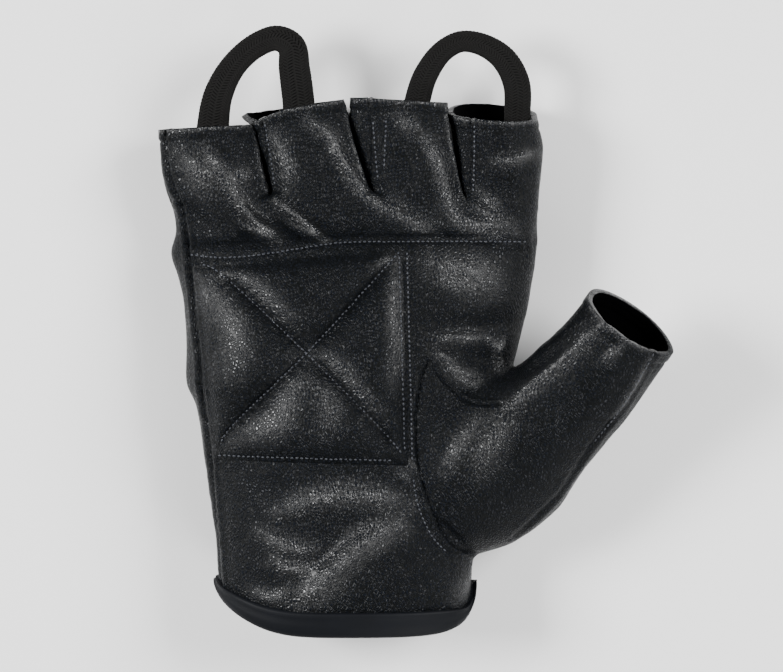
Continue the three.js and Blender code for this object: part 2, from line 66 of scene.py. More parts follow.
# Rows across the hand, from the cuff's edge to the feet of the slits between the fingers.
# left, right: edges of the hand. side: height of those edges. up, down: depth of the palm and back there.
# rise: how far the edges lie further up the hand than the middle of the palm, which rounds the cuff.
HAND_COLUMNS = ("y", "left", "right", "side", "up", "down", "rise")
HAND_ROWS = [
    (1.3, -36.6, 34.4, 16, 17, 14.7, 13.8),
    (8.0, -37.0, 34.6, 16, 18.6, 14.9, 12.4),
    (22.0, -37.5, 35.8, 15, 21, 16.5, 4.0),
    (37.0, -38.8, 38.0, 15, 21, 18, 0),
    (52.0, -41.2, 41.0, 15, 21, 18, 0),
    (65.0, -43.3, 43.5, 15, 21, 18, 0),
    (70.0, -45.6, 44.8, 15, 21, 18, 0),
    (80.0, -45.7, 47.3, 15, 20, 18, 0),
    (90.0, -46.5, 50.1, 15, 19, 18, 0),
    (100.0, -48.2, 51.8, 14, 18, 17, 0),
    (107.0, -50.1, 52.6, 14, 16, 16, 0),
    (113.5, -49.0, 52.9, 13, 12.5, 12.5, 0),
    (122.8, -50.6, 53.0, 13, 9.5, 7.5, 0),
]

# Rows along each finger stall, from inside the hand to its mouth.
# left, right: the edges of its section seen from the palm. depth: half its thickness.
# lean: how far the section tips back towards the hand, in degrees. side: height of the edges.
FINGER_COLUMNS = ("left", "right", "depth", "lean", "side")
FINGER_ROWS = {
    "little": [
        ((-45.0, 108), (-16.4, 108), 10.5, 0, 13.0),
        ((-51.9, 126), (-21.9, 126), 10.0, 1, 13.7),
        ((-53.2, 135), (-25.1, 135.4), 9.2, 2, 14.3),
        ((-53.6, 141.4), (-27.5, 142.8), 8.8, 2, 14.5),
    ],
    "ring": [
        ((-16.8, 108), (11.6, 108), 12.0, 0, 13.0),
        ((-22.3, 126), (6.1, 126), 10.4, 1, 13.7),
        ((-26.5, 141.4), (0.2, 142.6), 9.6, 3, 14.3),
        ((-30.4, 145.4), (-2.0, 150.0), 9.4, 4, 14.5),
    ],
    "middle": [
        ((11.0, 108), (34.8, 108), 12.0, 0, 13.0),
        ((5.4, 126), (31.9, 126), 10.6, 0, 13.7),
        ((1.1, 141), (29.2, 140), 9.8, 1, 14.3),
        ((-0.9, 150.4), (27.7, 148.7), 9.4, 1, 14.5),
    ],
    "index": [
        ((34.4, 108), (52.0, 108), 10.5, 0, 13.0),
        ((31.5, 126), (53.6, 126), 10.6, 5, 13.7),
        ((29.9, 138), (54.4, 138), 9.8, 11, 14.3),
        ((28.4, 147.2), (52.7, 145.4), 9.4, 17, 14.5),
    ],
}
# Shape of each stall's palm side: how round its left and right shoulders are (small is square), and how much
# higher it lies on the right, where its edge stands over the slit
FINGER_TOPS = {
    "little": (0.85, 0.60, 0.06),
    "ring": (0.55, 0.42, 0.10),
    "middle": (0.5, 0.42, 0.12),
    "index": (0.46, 0.8, 0.0),
}
OVAL_TOP = np.array([0.85, 0.85, 0.0])  # the same for a plain oval section
OVAL_UNDER = np.array([0.8, 0.8])  # how round the shoulders of its underside are

# Rows along the thumb, from inside the hand to its mouth
THUMB_COLUMNS = ("left", "right", "side", "up", "down", "lean")
THUMB_ROWS = [
    ((12.0, 47.0), (36.0, 22.0), 14, 18.5, 13, 0),
    ((13.0, 64.0), (46.0, 25.6), 15, 20, 15, 3),
    ((27.0, 73.6), (57.8, 34.4), 17.5, 18.5, 16, 7),
    ((44.4, 73.6), (65.2, 45.2), 22, 15, 15, 12),
    ((53.6, 80.8), (74.2, 56.4), 26.5, 12, 13, 17),
    ((61.4, 88.6), (82.0, 67.2), 30.5, 11, 12, 22),
    ((66.8, 95.2), (89.8, 78.8), 33.5, 10.8, 11.4, 25),
]

# Seams seen from the palm, each a run of points from left to right or from top to bottom
FINGER_SEAM = [(-62, 108.6), (-45, 108.8), (-30, 109.6), (-1, 111.3), (16, 111.4), (62, 111.6)]
SIDE_SEAM = [(-51.8, 160), (-50.8, 132), (-47.4, 120), (-45.2, 110), (-44.6, 104), (-43.4, 92), (-41.6, 76),
             (-40.8, 66), (-38.4, 47), (-37.0, 30), (-36.0, 17), (-35.6, -10)]
THUMB_SEAM = [(42.3, 64.6), (36.4, 64.4), (31.6, 66.0), (26.9, 69.7), (24.0, 73.2), (22.5, 76.6),
              (20.9, 73.6), (19.7, 69.0), (18.9, 63.0), (18.8, 56.5), (19.2, 48.0), (21.2, 40.5),
              (23.4, 34.2), (26.9, 27.8), (31.1, 24.0), (36.5, 22.4)]
THUMB_HEEL = [(38.6, 19.6), (120, -10)]
THUMB_CROTCH = [(120, 120), (62, 110), (56, 90), (50.2, 80), (45.8, 72.4)]
THUMB_BACK_SEAM = [(45.8, 72.4), (37.0, 60.0), (31.0, 46.0), (30.0, 32.0), (38.6, 19.6)]

# The slits between the fingers: their line from the web up, and the width of the side wall that shows before
# it at the foot and at each point of the line after the first.
# Foot: where the side wall begins. Web and apart: the heights between which the stalls beside it spread, and
# how far they are held apart while the skin is made, so that it stays open. Pressed: how high they press on
# each other. Notch: how wide it gapes at the mouths.
SLITS = {
    "little_ring": {"line": [(-21.8, 122.6), (-23.9, 130.4), (-25.7, 141.4), (-28.6, 146.0)],
                    "front": (0.6, 1.2, 1.8, 3.0), "foot": 122.6, "web": (120.2, 128.2), "apart": 6.0,
                    "pressed": 142.6, "notch": 0.0},
    "ring_middle": {"line": [(7.0, 121.8), (0.9, 141.0), (-1.4, 155)], "front": (0.6, 5.0, 6.4),
                    "foot": 124.4, "web": (121.4, 129.4), "apart": 4.0, "pressed": 154.0, "notch": 2.4},
    "middle_index": {"line": [(33.0, 121.8), (29.6, 134.5), (27.8, 145.6), (27.2, 154)],
                     "front": (0.6, 4.4, 6.2, 7.4), "foot": 120.6, "web": (118.6, 126.6), "apart": 4.0,
                     "pressed": 154.0, "notch": 0.0},
}
NOTCH = (144.0, 150.6)  # heights between which a slit opens to its full gape
RIM_DIP = {"ring": (-17.0, -29.0, 2.4)}  # where the palm side of a mouth dips, from and to, and how far
# Neighbouring stalls press on each other: how far they are spread for it and over what width, the gap left
# between them, and the slope of the slit, which runs under the stall on its left below the top
SLIT_PRESS = {"spread": 1.1, "width": 4.0, "gap": 0.12, "slope": 0.16, "top": 22.0}
SIDE_WALL = {"low": 7.5, "high": 18.0, "behind": 3.4}


def rows_of(columns, rows):
    """The rows as one array for each column."""
    return {name: np.array([row[i] for row in rows], float) for i, name in enumerate(columns)}


def along_rows(rows, share):
    """Smooth value between rows: share runs from 0 at the first row to 1 at the last."""
    rows = np.asarray(rows, float)
    last = len(rows) - 1
    place = min(max(share, 0.0), 1.0) * last
    i = min(int(place), last - 1)
    w = place - i
    before = rows[i - 1] if i > 0 else 2 * rows[0] - rows[1]
    after = rows[i + 2] if i + 2 <= last else 2 * rows[last] - rows[last - 1]
    a, b = rows[i], rows[i + 1]
    gaps = [max(np.linalg.norm(q - p), 1e-6) ** 0.5 for p, q in ((before, a), (a, b), (b, after))]
    leave = ((a - before) / gaps[0] - (b - before) / (gaps[0] + gaps[1]) + (b - a) / gaps[1]) * gaps[1]
    arrive = ((b - a) / gaps[1] - (after - a) / (gaps[1] + gaps[2]) + (after - b) / gaps[2]) * gaps[1]
    return (a + leave * w + (3 * (b - a) - 2 * leave - arrive) * w ** 2
            + (2 * (a - b) + leave + arrive) * w ** 3)


def smooth_line(points, parts=10):
    """A drawn line: the points with smooth curves between them."""
    count = (len(points) - 1) * parts
    return np.array([along_rows(points, k / count) for k in range(count + 1)])


def soft_step(low, high, value):
    """From 0 at low to 1 at high, with a soft start and end."""
    share = np.clip((value - low) / (high - low), 0, 1)
    return share * share * (3 - 2 * share)


def bell(apart, width):
    """1 at no distance, falling softly to nothing past the width."""
    return np.exp(-(apart / width) ** 2)


def to_line(plan, line):
    """Distance from places in plan to a line, how far along it they lie, and on which side (1 is left)."""
    best = np.full(len(plan), np.inf)
    along = np.zeros(len(plan))
    side = np.ones(len(plan))
    run = 0.0
    for a, b in zip(line[:-1], line[1:]):
        step = b - a
        length = max(np.linalg.norm(step), 1e-9)
        to = plan - a
        share = np.clip((to @ step) / length ** 2, 0, 1)
        apart = np.linalg.norm(to - share[:, None] * step, axis=1)
        closer = apart < best
        best[closer] = apart[closer]
        along[closer] = run + share[closer] * length
        side[closer] = np.where((step[0] * to[:, 1] - step[1] * to[:, 0])[closer] >= 0, 1, -1)
        run += length
    return best, along, side


def inside(plan, outline):
    """Signed distance to a closed outline in plan, above zero inside it."""
    closed = np.vstack([outline, outline[:1]])
    apart, _, _ = to_line(plan, closed)
    odd = np.zeros(len(plan), bool)
    for (ax, ay), (bx, by) in zip(closed[:-1], closed[1:]):
        if ay == by:
            continue
        crosses = (ay > plan[:, 1]) != (by > plan[:, 1])
        odd ^= crosses & (plan[:, 0] < ax + (plan[:, 1] - ay) * (bx - ax) / (by - ay))
    return np.where(odd, apart, -apart)


def read(elements, name):
    """Three numbers for each corner or face of a mesh, as rows."""
    values = np.empty(len(elements) * 3, np.float32)
    elements.foreach_get(name, values)
    return values.reshape(-1, 3)


def points_of(piece):
    return read(piece.data.vertices, "co").astype(float) / MM + MIDDLE


def face_middles(piece):
    return read(piece.data.polygons, "center").astype(float) / MM + MIDDLE


def normals_of(piece):
    return read(piece.data.vertex_normals, "vector").astype(float)


def to_frame(points):
    return (np.asarray(points, float) - MIDDLE) * MM


def move_points(piece, points):
    piece.data.vertices.foreach_set("co", to_frame(points).astype(np.float32).ravel())
    piece.data.update()


def pick(*pieces):
    """Selects only these pieces, the first one active."""
    bpy.ops.object.select_all(action="DESELECT")
    for piece in pieces:
        piece.select_set(True)
    bpy.context.view_layer.objects.active = pieces[0]


def finish_with(piece, kind, **settings):
    """Applies one modifier to a piece."""
    pick(piece)
    modifier = piece.modifiers.new(kind.title(), kind)
    for name, value in settings.items():
        setattr(modifier, name, value)
    bpy.ops.object.modifier_apply(modifier=modifier.name)


def turn_outwards(piece):
    """Turns all faces of a piece the same way."""
    pick(piece)
    bpy.ops.object.mode_set(mode="EDIT")
    bpy.ops.mesh.select_all(action="SELECT")
    bpy.ops.mesh.normals_make_consistent(inside=False)
    bpy.ops.object.mode_set(mode="OBJECT")


@contextmanager
def opened(piece):
    """Opens a piece's mesh for editing, and writes it back."""
    bm = bmesh.new()
    bm.from_mesh(piece.data)
    yield bm
    bm.to_mesh(piece.data)
    bm.free()


def new_piece(name, corners, faces):
    """A piece from corners in the glove's millimetres and faces."""
    mesh = bpy.data.meshes.new(name)
    mesh.from_pydata([tuple(p) for p in to_frame(corners)], [], faces)
    piece = bpy.data.objects.new(name, mesh)
    bpy.context.scene.collection.objects.link(piece)
    return piece


def run_along(line):
    """How far along a line each of its points lies."""
    return np.concatenate([[0], np.cumsum(np.linalg.norm(np.diff(line, axis=0), axis=1))])


def places_on(line, at):
    """The places at these distances along a line."""
    return np.column_stack([np.interp(at, run_along(line), values) for values in line.T])


# Sections of the leather body

def cuff_rise(rise, across, lift):
    """How far one point of a section lies up the hand. The cuff's edge is cut squarer towards the thumb."""
    over = np.clip(1 - lift, 0, 1) ** (1.75 - 0.85 * across)
    return rise * np.where(lift > 0, over, 1 + 0.12 * lift)


def section(left, right, side, up, down, lean=0.0, rise=0.0, inset=0.0, corners=120, top=OVAL_TOP,
            under=OVAL_UNDER):
    """One closed section: an oval between two edges, flattened on the floor. Top and under say how round its
    left and right shoulders are, and top also how much higher it lies on the right."""
    left = np.array([*left, side], float)
    right = np.array([*right, side], float)
    middle = (left + right) / 2
    half = (right - left) / 2
    width = np.linalg.norm(half)
    outward = np.array([-half[1], half[0], 0]) / width
    tip = math.radians(lean)
    upward = -math.sin(tip) * outward + np.array([0, 0, math.cos(tip)])
    turn = 2 * np.pi * np.arange(corners) / corners
    lift, across = np.sin(turn), np.cos(turn)
    to_right = soft_step(0.2, -0.8, across)
    over = (up - inset) * np.abs(lift) ** (top[0] + (top[1] - top[0]) * to_right) * (1 - top[2] * across)
    below = (down - inset) * np.abs(lift) ** (under[0] + (under[1] - under[0]) * to_right)
    depth = np.where(lift > 0, over, -below)
    ring = middle - across[:, None] * half * (width - inset) / width + depth[:, None] * upward
    ring[:, 1] += cuff_rise(rise, across, lift)
    ring[:, 2] = np.maximum(ring[:, 2], FLOOR_GAP + max(inset, 0))
    return ring


HAND = rows_of(HAND_COLUMNS, HAND_ROWS)


def hand_edges(share):
    """The hand's measures at a share of its length from the cuff."""
    values = {}
    for names in (("y", "left", "right"), ("side", "up", "down"), ("rise",)):
        values.update(zip(names, along_rows(np.stack([HAND[n] for n in names], axis=1), share)))
    return values


def hand_share(y):
    """The share of the hand's length that lies below a height, found by halving."""
    low, high = 0.0, 1.0
    for _ in range(24):
        share = (low + high) / 2
        if hand_edges(share)["y"] < y:
            low = share
        else:
            high = share
    return low


def hand_section(share, y=None, inset=0.0, corners=120):
    """The hand's section at a share of its length, drawn at another height if one is given."""
    edges = hand_edges(share)
    own_y, left, right = (edges.pop(name) for name in ("y", "left", "right"))
    y = own_y if y is None else y
    return section((left, y), (right, y), inset=inset, corners=corners, **edges)


def step_round(rise, run, steps):
    """The number of the step round a circle at which each place lies."""
    return np.rint(np.arctan2(rise, run) * steps / (2 * math.pi)).astype(int) % steps


def lofted(name, rings):
    """A closed volume: a disc, extruded once for each section and then shaped to the sections."""
    rings = np.asarray(rings)
    corners = rings.shape[1]
    bpy.ops.object.select_all(action="DESELECT")
    bpy.ops.mesh.primitive_circle_add(vertices=corners, radius=1, fill_type="NGON")
    volume = bpy.context.object
    volume.name = name
    bpy.ops.object.mode_set(mode="EDIT")
    for _ in rings[1:]:
        bpy.ops.mesh.extrude_region_move(TRANSFORM_OT_translate={"value": (0, 0, 1)})
    bpy.ops.object.mode_set(mode="OBJECT")
    co = read(volume.data.vertices, "co")
    level = np.rint(co[:, 2]).astype(int)
    move_points(volume, rings[level, step_round(co[:, 1], co[:, 0], corners)])
    return volume


def shifts(y):
    """How far each stall is held from its place at a height while the skin is made, so slits stay open."""
    first, second, third = (spec["apart"] * soft_step(*spec["web"], y) for spec in SLITS.values())
    return np.array([-second / 2 - first, -second / 2, second / 2, second / 2 + third])


def held_apart(ring, finger):
    ring = ring.copy()
    ring[:, 0] += shifts(ring[:, 1])[list(FINGER_ROWS).index(finger)]
    return ring


def hand_volume():
    rings = [hand_section(0, hand_edges(0)["y"] - PAST_MOUTH)]
    rings += [hand_section(k / 90) for k in range(91)]
    return lofted("hand", rings)


def finger_volume(finger):
    rows = rows_of(FINGER_COLUMNS, FINGER_ROWS[finger])
    rings = []
    for share in np.arange(37) / 36:
        left = along_rows(rows["left"], share)
        right = along_rows(rows["right"], share)
        depth, lean, side = along_rows(np.stack([rows[n] for n in ("depth", "lean", "side")], axis=1), share)
        top = OVAL_TOP + (FINGER_TOPS[finger] - OVAL_TOP) * soft_step(0.1, 0.5, share)
        rings.append(section(left, right, side, depth, depth, lean, corners=72, top=top))
    rings.append(rings[-1] + np.array([0, PAST_FINGER, 0]))
    return lofted(finger, [held_apart(ring, finger) for ring in rings])


def thumb_volume():
    rows = rows_of(THUMB_COLUMNS, THUMB_ROWS)
    rings = []
    for share in np.arange(61) / 60:
        a = along_rows(np.column_stack([rows["left"], rows["side"]]), share)
        b = along_rows(np.column_stack([rows["right"], rows["lean"]]), share)
        up, down = along_rows(np.column_stack([rows["up"], rows["down"]]), share)
        pinch = 0.45 * soft_step(0.3, 0.9, share)
        rings.append(section(a[:2], b[:2], a[2], up, down, b[2], corners=88, top=OVAL_TOP + [0, pinch, 0],
                             under=OVAL_UNDER + [0, pinch]))
    across = b[:2] - a[:2]
    along = np.array([-across[1], across[0]]) / np.linalg.norm(across) * PAST_MOUTH
    rings.append(rings[-1] + np.array([*along, math.tan(math.radians(b[2])) * PAST_MOUTH]))
    return lofted("thumb", rings)


def slit_x(slit, y):
    line = smooth_line(SLITS[slit]["line"])
    return np.interp(y, line[:, 1], line[:, 0])


def slit_at(slit, points):
    """Where the slit lies (x) beside each place: it slopes down under the stall on its left."""
    below = np.clip(SLIT_PRESS["top"] - points[:, 2], 0, SLIT_PRESS["top"])
    upright = (SLITS[slit]["notch"] > 0) * soft_step(NOTCH[0] - 3, NOTCH[0] + 2, points[:, 1])
    return slit_x(slit, points[:, 1]) - SLIT_PRESS["slope"] * below * (1 - upright)


def stalls_apart(points):
    """The stall that each place is on while they are held apart, and how far it is held from its place."""
    apart = shifts(points[:, 1])
    stall = np.zeros(len(points), int)
    for k, slit in enumerate(SLITS):
        stall += points[:, 0] > slit_x(slit, points[:, 1]) + (apart[k] + apart[k + 1]) / 2
    return stall, apart[stall, np.arange(len(points))]


def drawn_together(points):
    """Brings the stalls, held apart while the skin was made, back beside each other."""
    stall, held = stalls_apart(points)
    x, y = points[:, 0] - held, points[:, 1]
    press = SLIT_PRESS
    for k, (slit, spec) in enumerate(SLITS.items()):
        spread = soft_step(*spec["web"], y)
        line = slit_at(slit, points)
        pressed = soft_step(spec["pressed"] + 1.6, spec["pressed"], y) * soft_step(0, 0.4, spread)
        gap = press["gap"] * spread + spec["notch"] / 2 * soft_step(*NOTCH, y)
        for side, mine in ((-1, stall == k), (1, stall == k + 1)):
            off = side * (x - line)
            nearer = off - press["spread"] * soft_step(press["width"], 0, off) * spread
            moved = line + side * np.maximum(nearer, gap)
            x = np.where(mine, x + (moved - x) * pressed, x)
    points = points.copy()
    points[:, 0] = x
    return points


SNAP = 0.16  # corners this close to a line that is cut are drawn onto it


def score(piece, line, where):
    """Draws the line where a field is zero into a mesh as edges."""
    points = points_of(piece)
    values = line(points)
    open_to = where(points)
    near = np.flatnonzero(open_to & (np.abs(values) < SNAP))
    if len(near):
        slope = np.zeros((len(near), 3))
        for axis in range(3):
            step = np.zeros(3)
            step[axis] = 0.05
            slope[:, axis] = (line(points[near] + step) - line(points[near] - step)) / 0.1
        steep = np.maximum((slope ** 2).sum(axis=1), 0.25)
        points[near] -= slope * (values[near] / steep)[:, None]
        values[near] = 0
        move_points(piece, points)
    ends = np.empty(len(piece.data.edges) * 2, np.int32)
    piece.data.edges.foreach_get("vertices", ends)
    ends = ends.reshape(-1, 2)
    a, b = values[ends[:, 0]], values[ends[:, 1]]
    crossing = np.flatnonzero((a * b < 0) & open_to[ends].all(axis=1))
    with opened(piece) as bm:
        bm.verts.ensure_lookup_table()
        bm.edges.ensure_lookup_table()
        edges = [bm.edges[i] for i in crossing]
        on_line = [bm.verts[i] for i in near]
        for edge in edges:
            first, second = (values[v.index] for v in edge.verts)
            on_line.append(bmesh.utils.edge_split(edge, edge.verts[0], first / (first - second))[1])
        bmesh.ops.connect_verts(bm, verts=on_line)


def without_faces(piece, gone):
    """Deletes faces by their number, and the corners and edges that they leave bare."""
    with opened(piece) as bm:
        bm.faces.ensure_lookup_table()
        bmesh.ops.delete(bm, geom=[bm.faces[i] for i in np.flatnonzero(gone)], context="FACES")


def without_slivers(piece):
    """Dissolves faces so narrow that their slope means nothing."""
    with opened(piece) as bm:
        bmesh.ops.dissolve_degenerate(bm, dist=0.05 * MM, edges=bm.edges)


def trim(piece, field, where):
    """Cuts away all of a piece where a field is above zero."""
    score(piece, field, where)
    middles = face_middles(piece)
    without_faces(piece, (field(middles) > 0) & where(middles))


def mouth_plane(left, right, side, lean):
    """Middle of a stall's mouth and the direction out of it."""
    left, right = np.array([*left, side]), np.array([*right, side])
    half = (right - left) / 2
    outward = np.array([-half[1], half[0], 0]) / np.linalg.norm(half)
    tip = math.radians(lean)
    return (left + right) / 2, math.cos(tip) * outward + np.array([0, 0, math.sin(tip)])


def past_mouths(points, stall):
    """How far places are past the mouths of the stalls that they belong to."""
    field = np.zeros(len(points))
    for k, (finger, rows) in enumerate(FINGER_ROWS.items()):
        left, right, _, lean, side = rows[-1]
        middle, outward = mouth_plane(left, right, side, lean)
        past = (points - middle) @ outward
        if finger in RIM_DIP:
            start, end, dip = RIM_DIP[finger]
            past += dip * soft_step(start, end, points[:, 0]) * soft_step(side - 2, side + 4, points[:, 2])
        field = np.where(stall == k, past, field)
    return field


def past_mouths_apart(points):
    """The same while the stalls are held apart."""
    stall, held = stalls_apart(points)
    closed = points.copy()
    closed[:, 0] -= held
    return past_mouths(closed, stall)


def past_finger_mouths(points):
    """The same for the finished glove."""
    plan_x = np.column_stack([slit_at(slit, points) for slit in SLITS])
    return past_mouths(points, (points[:, :1] > plan_x).sum(axis=1))


def past_thumb_mouth(points):
    left, right, side, _, _, lean = THUMB_ROWS[-1]
    middle, outward = mouth_plane(left, right, side, lean)
    return (points - middle) @ outward


def near_thumb_mouth(points):
    return (points[:, 0] > 60) & (points[:, 1] < 115)


def within_mouths(points):
    """How far inside the finger and thumb mouths places lie."""
    within = np.where(points[:, 1] > STALLS_FROM, -past_finger_mouths(points), 99)
    return np.where(near_thumb_mouth(points), -past_thumb_mouth(points), within)


def past_cuff(points):
    """How far places are past the cuff's edge."""
    edge = hand_edges(0)
    half = (edge["right"] - edge["left"]) / 2
    across = np.clip(-(points[:, 0] - (edge["left"] + edge["right"]) / 2) / half, -1, 1)
    lift = np.sqrt(1 - across ** 2) * np.where(points[:, 2] > edge["side"], 1, -1)
    return edge["y"] + cuff_rise(edge["rise"], across, lift) - points[:, 1]


def leather_skin():
    """The outside of the whole glove as one skin, open at the cuff, the fingers and the thumb."""
    volumes = [hand_volume(), *[finger_volume(f) for f in FINGER_ROWS], thumb_volume()]
    pick(*volumes)
    bpy.ops.object.join()
    skin = volumes[0]
    skin.name = "skin"
    finish_with(skin, "REMESH", mode="VOXEL", voxel_size=SKIN_STEP * MM, use_smooth_shade=True)
    finish_with(skin, "SMOOTH", factor=0.5, iterations=14)
    trim(skin, past_mouths_apart, lambda p: p[:, 1] > STALL_ENDS)
    points = drawn_together(points_of(skin))
    points[:, 2] = np.maximum(points[:, 2], FLOOR_GAP)
    move_points(skin, points)
    trim(skin, past_thumb_mouth, near_thumb_mouth)
    trim(skin, past_cuff, lambda p: p[:, 1] < CUFF_ZONE)
    return skin


# Panels

HAND_PARTING = np.array([(-60, 16), (15, 16), (105, 14), (125, 13.5), (220, 14.5)], float)
thumb_outline = np.vstack([smooth_line(THUMB_SEAM, 6), THUMB_HEEL, THUMB_CROTCH])
thumb_back_outline = np.vstack([smooth_line(THUMB_BACK_SEAM, 6), THUMB_HEEL[1:], THUMB_CROTCH[:-1]])
finger_seam = smooth_line(FINGER_SEAM, 8)
side_seam = smooth_line(SIDE_SEAM, 6)


def thumb_run():
    """Middle line of the thumb in plan: its direction, and how far along it each row lies."""
    rows = rows_of(THUMB_COLUMNS, THUMB_ROWS[1:])
    middles = (rows["left"] + rows["right"]) / 2
    run = middles[-1] - middles[0]
    run /= np.linalg.norm(run)
    return run, middles @ run, rows["side"]


def parting(points):
    """Height of the edge between the palm side and the back: level round the hand, rising with the thumb."""
    run, stations, heights = thumb_run()
    hand = np.interp(points[:, 1], HAND_PARTING[:, 0], HAND_PARTING[:, 1])
    thumb = np.interp(points[:, :2] @ run, stations, heights)
    return np.where(inside(points[:, :2], thumb_back_outline) > 0, thumb, hand)


def above_parting(points):
    return points[:, 2] - parting(points)


def past_side_seam(points):
    apart, _, side = to_line(points[:, :2], side_seam)
    return apart * side


def past_finger_seam(points):
    return points[:, 1] - np.interp(points[:, 0], finger_seam[:, 0], finger_seam[:, 1])


def slit_room(slit, points):
    """For one slit: how far right of its line a place is, and the width of the side wall before it there."""
    spec = SLITS[slit]
    heights = [spec["foot"], spec["foot"] + 2.5, *[y for _, y in spec["line"][1:]]]
    width = np.interp(points[:, 1], heights, [0, *spec["front"]])
    return points[:, 0] - slit_at(slit, points), width, points[:, 1] - spec["foot"]


def in_side_wall(slit, points):
    right, width, above = slit_room(slit, points)
    x, z = right, points[:, 2]
    before = (x > 0) & (x < width)
    behind = (x <= 0) & (x > -SIDE_WALL["behind"]) & (z < SIDE_WALL["high"])
    return (above > 0) & (z > SIDE_WALL["low"]) & (before | behind)


PANELS = ["back_panel", "palm_panel", "finger_panel", "thumb_palm", "thumb_back",
          "fourchette_little_ring", "fourchette_ring_middle", "fourchette_middle_index"]


def panel_of(points):
    """The number of the panel that each place on the skin belongs to."""
    plan = points[:, :2]
    front = (past_side_seam(points) > 0) & (above_parting(points) > 0)
    panel = np.zeros(len(points), int)
    panel[front] = PANELS.index("palm_panel")
    panel[front & (past_finger_seam(points) > 0)] = PANELS.index("finger_panel")
    panel[front & (inside(plan, thumb_outline) > 0)] = PANELS.index("thumb_palm")
    panel[~front & (inside(plan, thumb_back_outline) > 0)] = PANELS.index("thumb_back")
    for slit in SLITS:
        panel[in_side_wall(slit, points)] = PANELS.index("fourchette_" + slit)
    return panel


def score_seams(skin):
    """Draws every seam into the skin."""
    def on_front(points):
        return above_parting(points) > -1.0

    def thumb_edge(points):
        return inside(points[:, :2], thumb_outline)

    def thumb_back_edge(points):
        return inside(points[:, :2], thumb_back_outline)

    score(skin, past_side_seam, lambda p: on_front(p) & (p[:, 0] < -30))
    score(skin, past_finger_seam,
          lambda p: on_front(p) & (past_side_seam(p) > -1) & (np.abs(past_finger_seam(p)) < 4))
    score(skin, thumb_edge, lambda p: on_front(p) & (p[:, 0] > 15) & (p[:, 1] < 92))
    score(skin, above_parting, lambda p: (past_side_seam(p) > -1) & (np.abs(above_parting(p)) < 3))
    score(skin, thumb_back_edge, lambda p: (above_parting(p) < 1) & (p[:, 0] > 25))
    for slit in SLITS:
        def near_slit(points, slit=slit):
            right, width, above = slit_room(slit, points)
            return (above > -1.5) & (right > -5) & (right < width + 2) & (points[:, 2] > 5.5)

        def before(points, slit=slit):
            right, width, _ = slit_room(slit, points)
            return right - width

        score(skin, before, near_slit)
        score(skin, lambda p: p[:, 2] - SIDE_WALL["high"],
              lambda p: near_slit(p) & (slit_room(slit, p)[0] < 0))
        score(skin, lambda p: p[:, 2] - SIDE_WALL["low"], near_slit)


# Relief of the leather

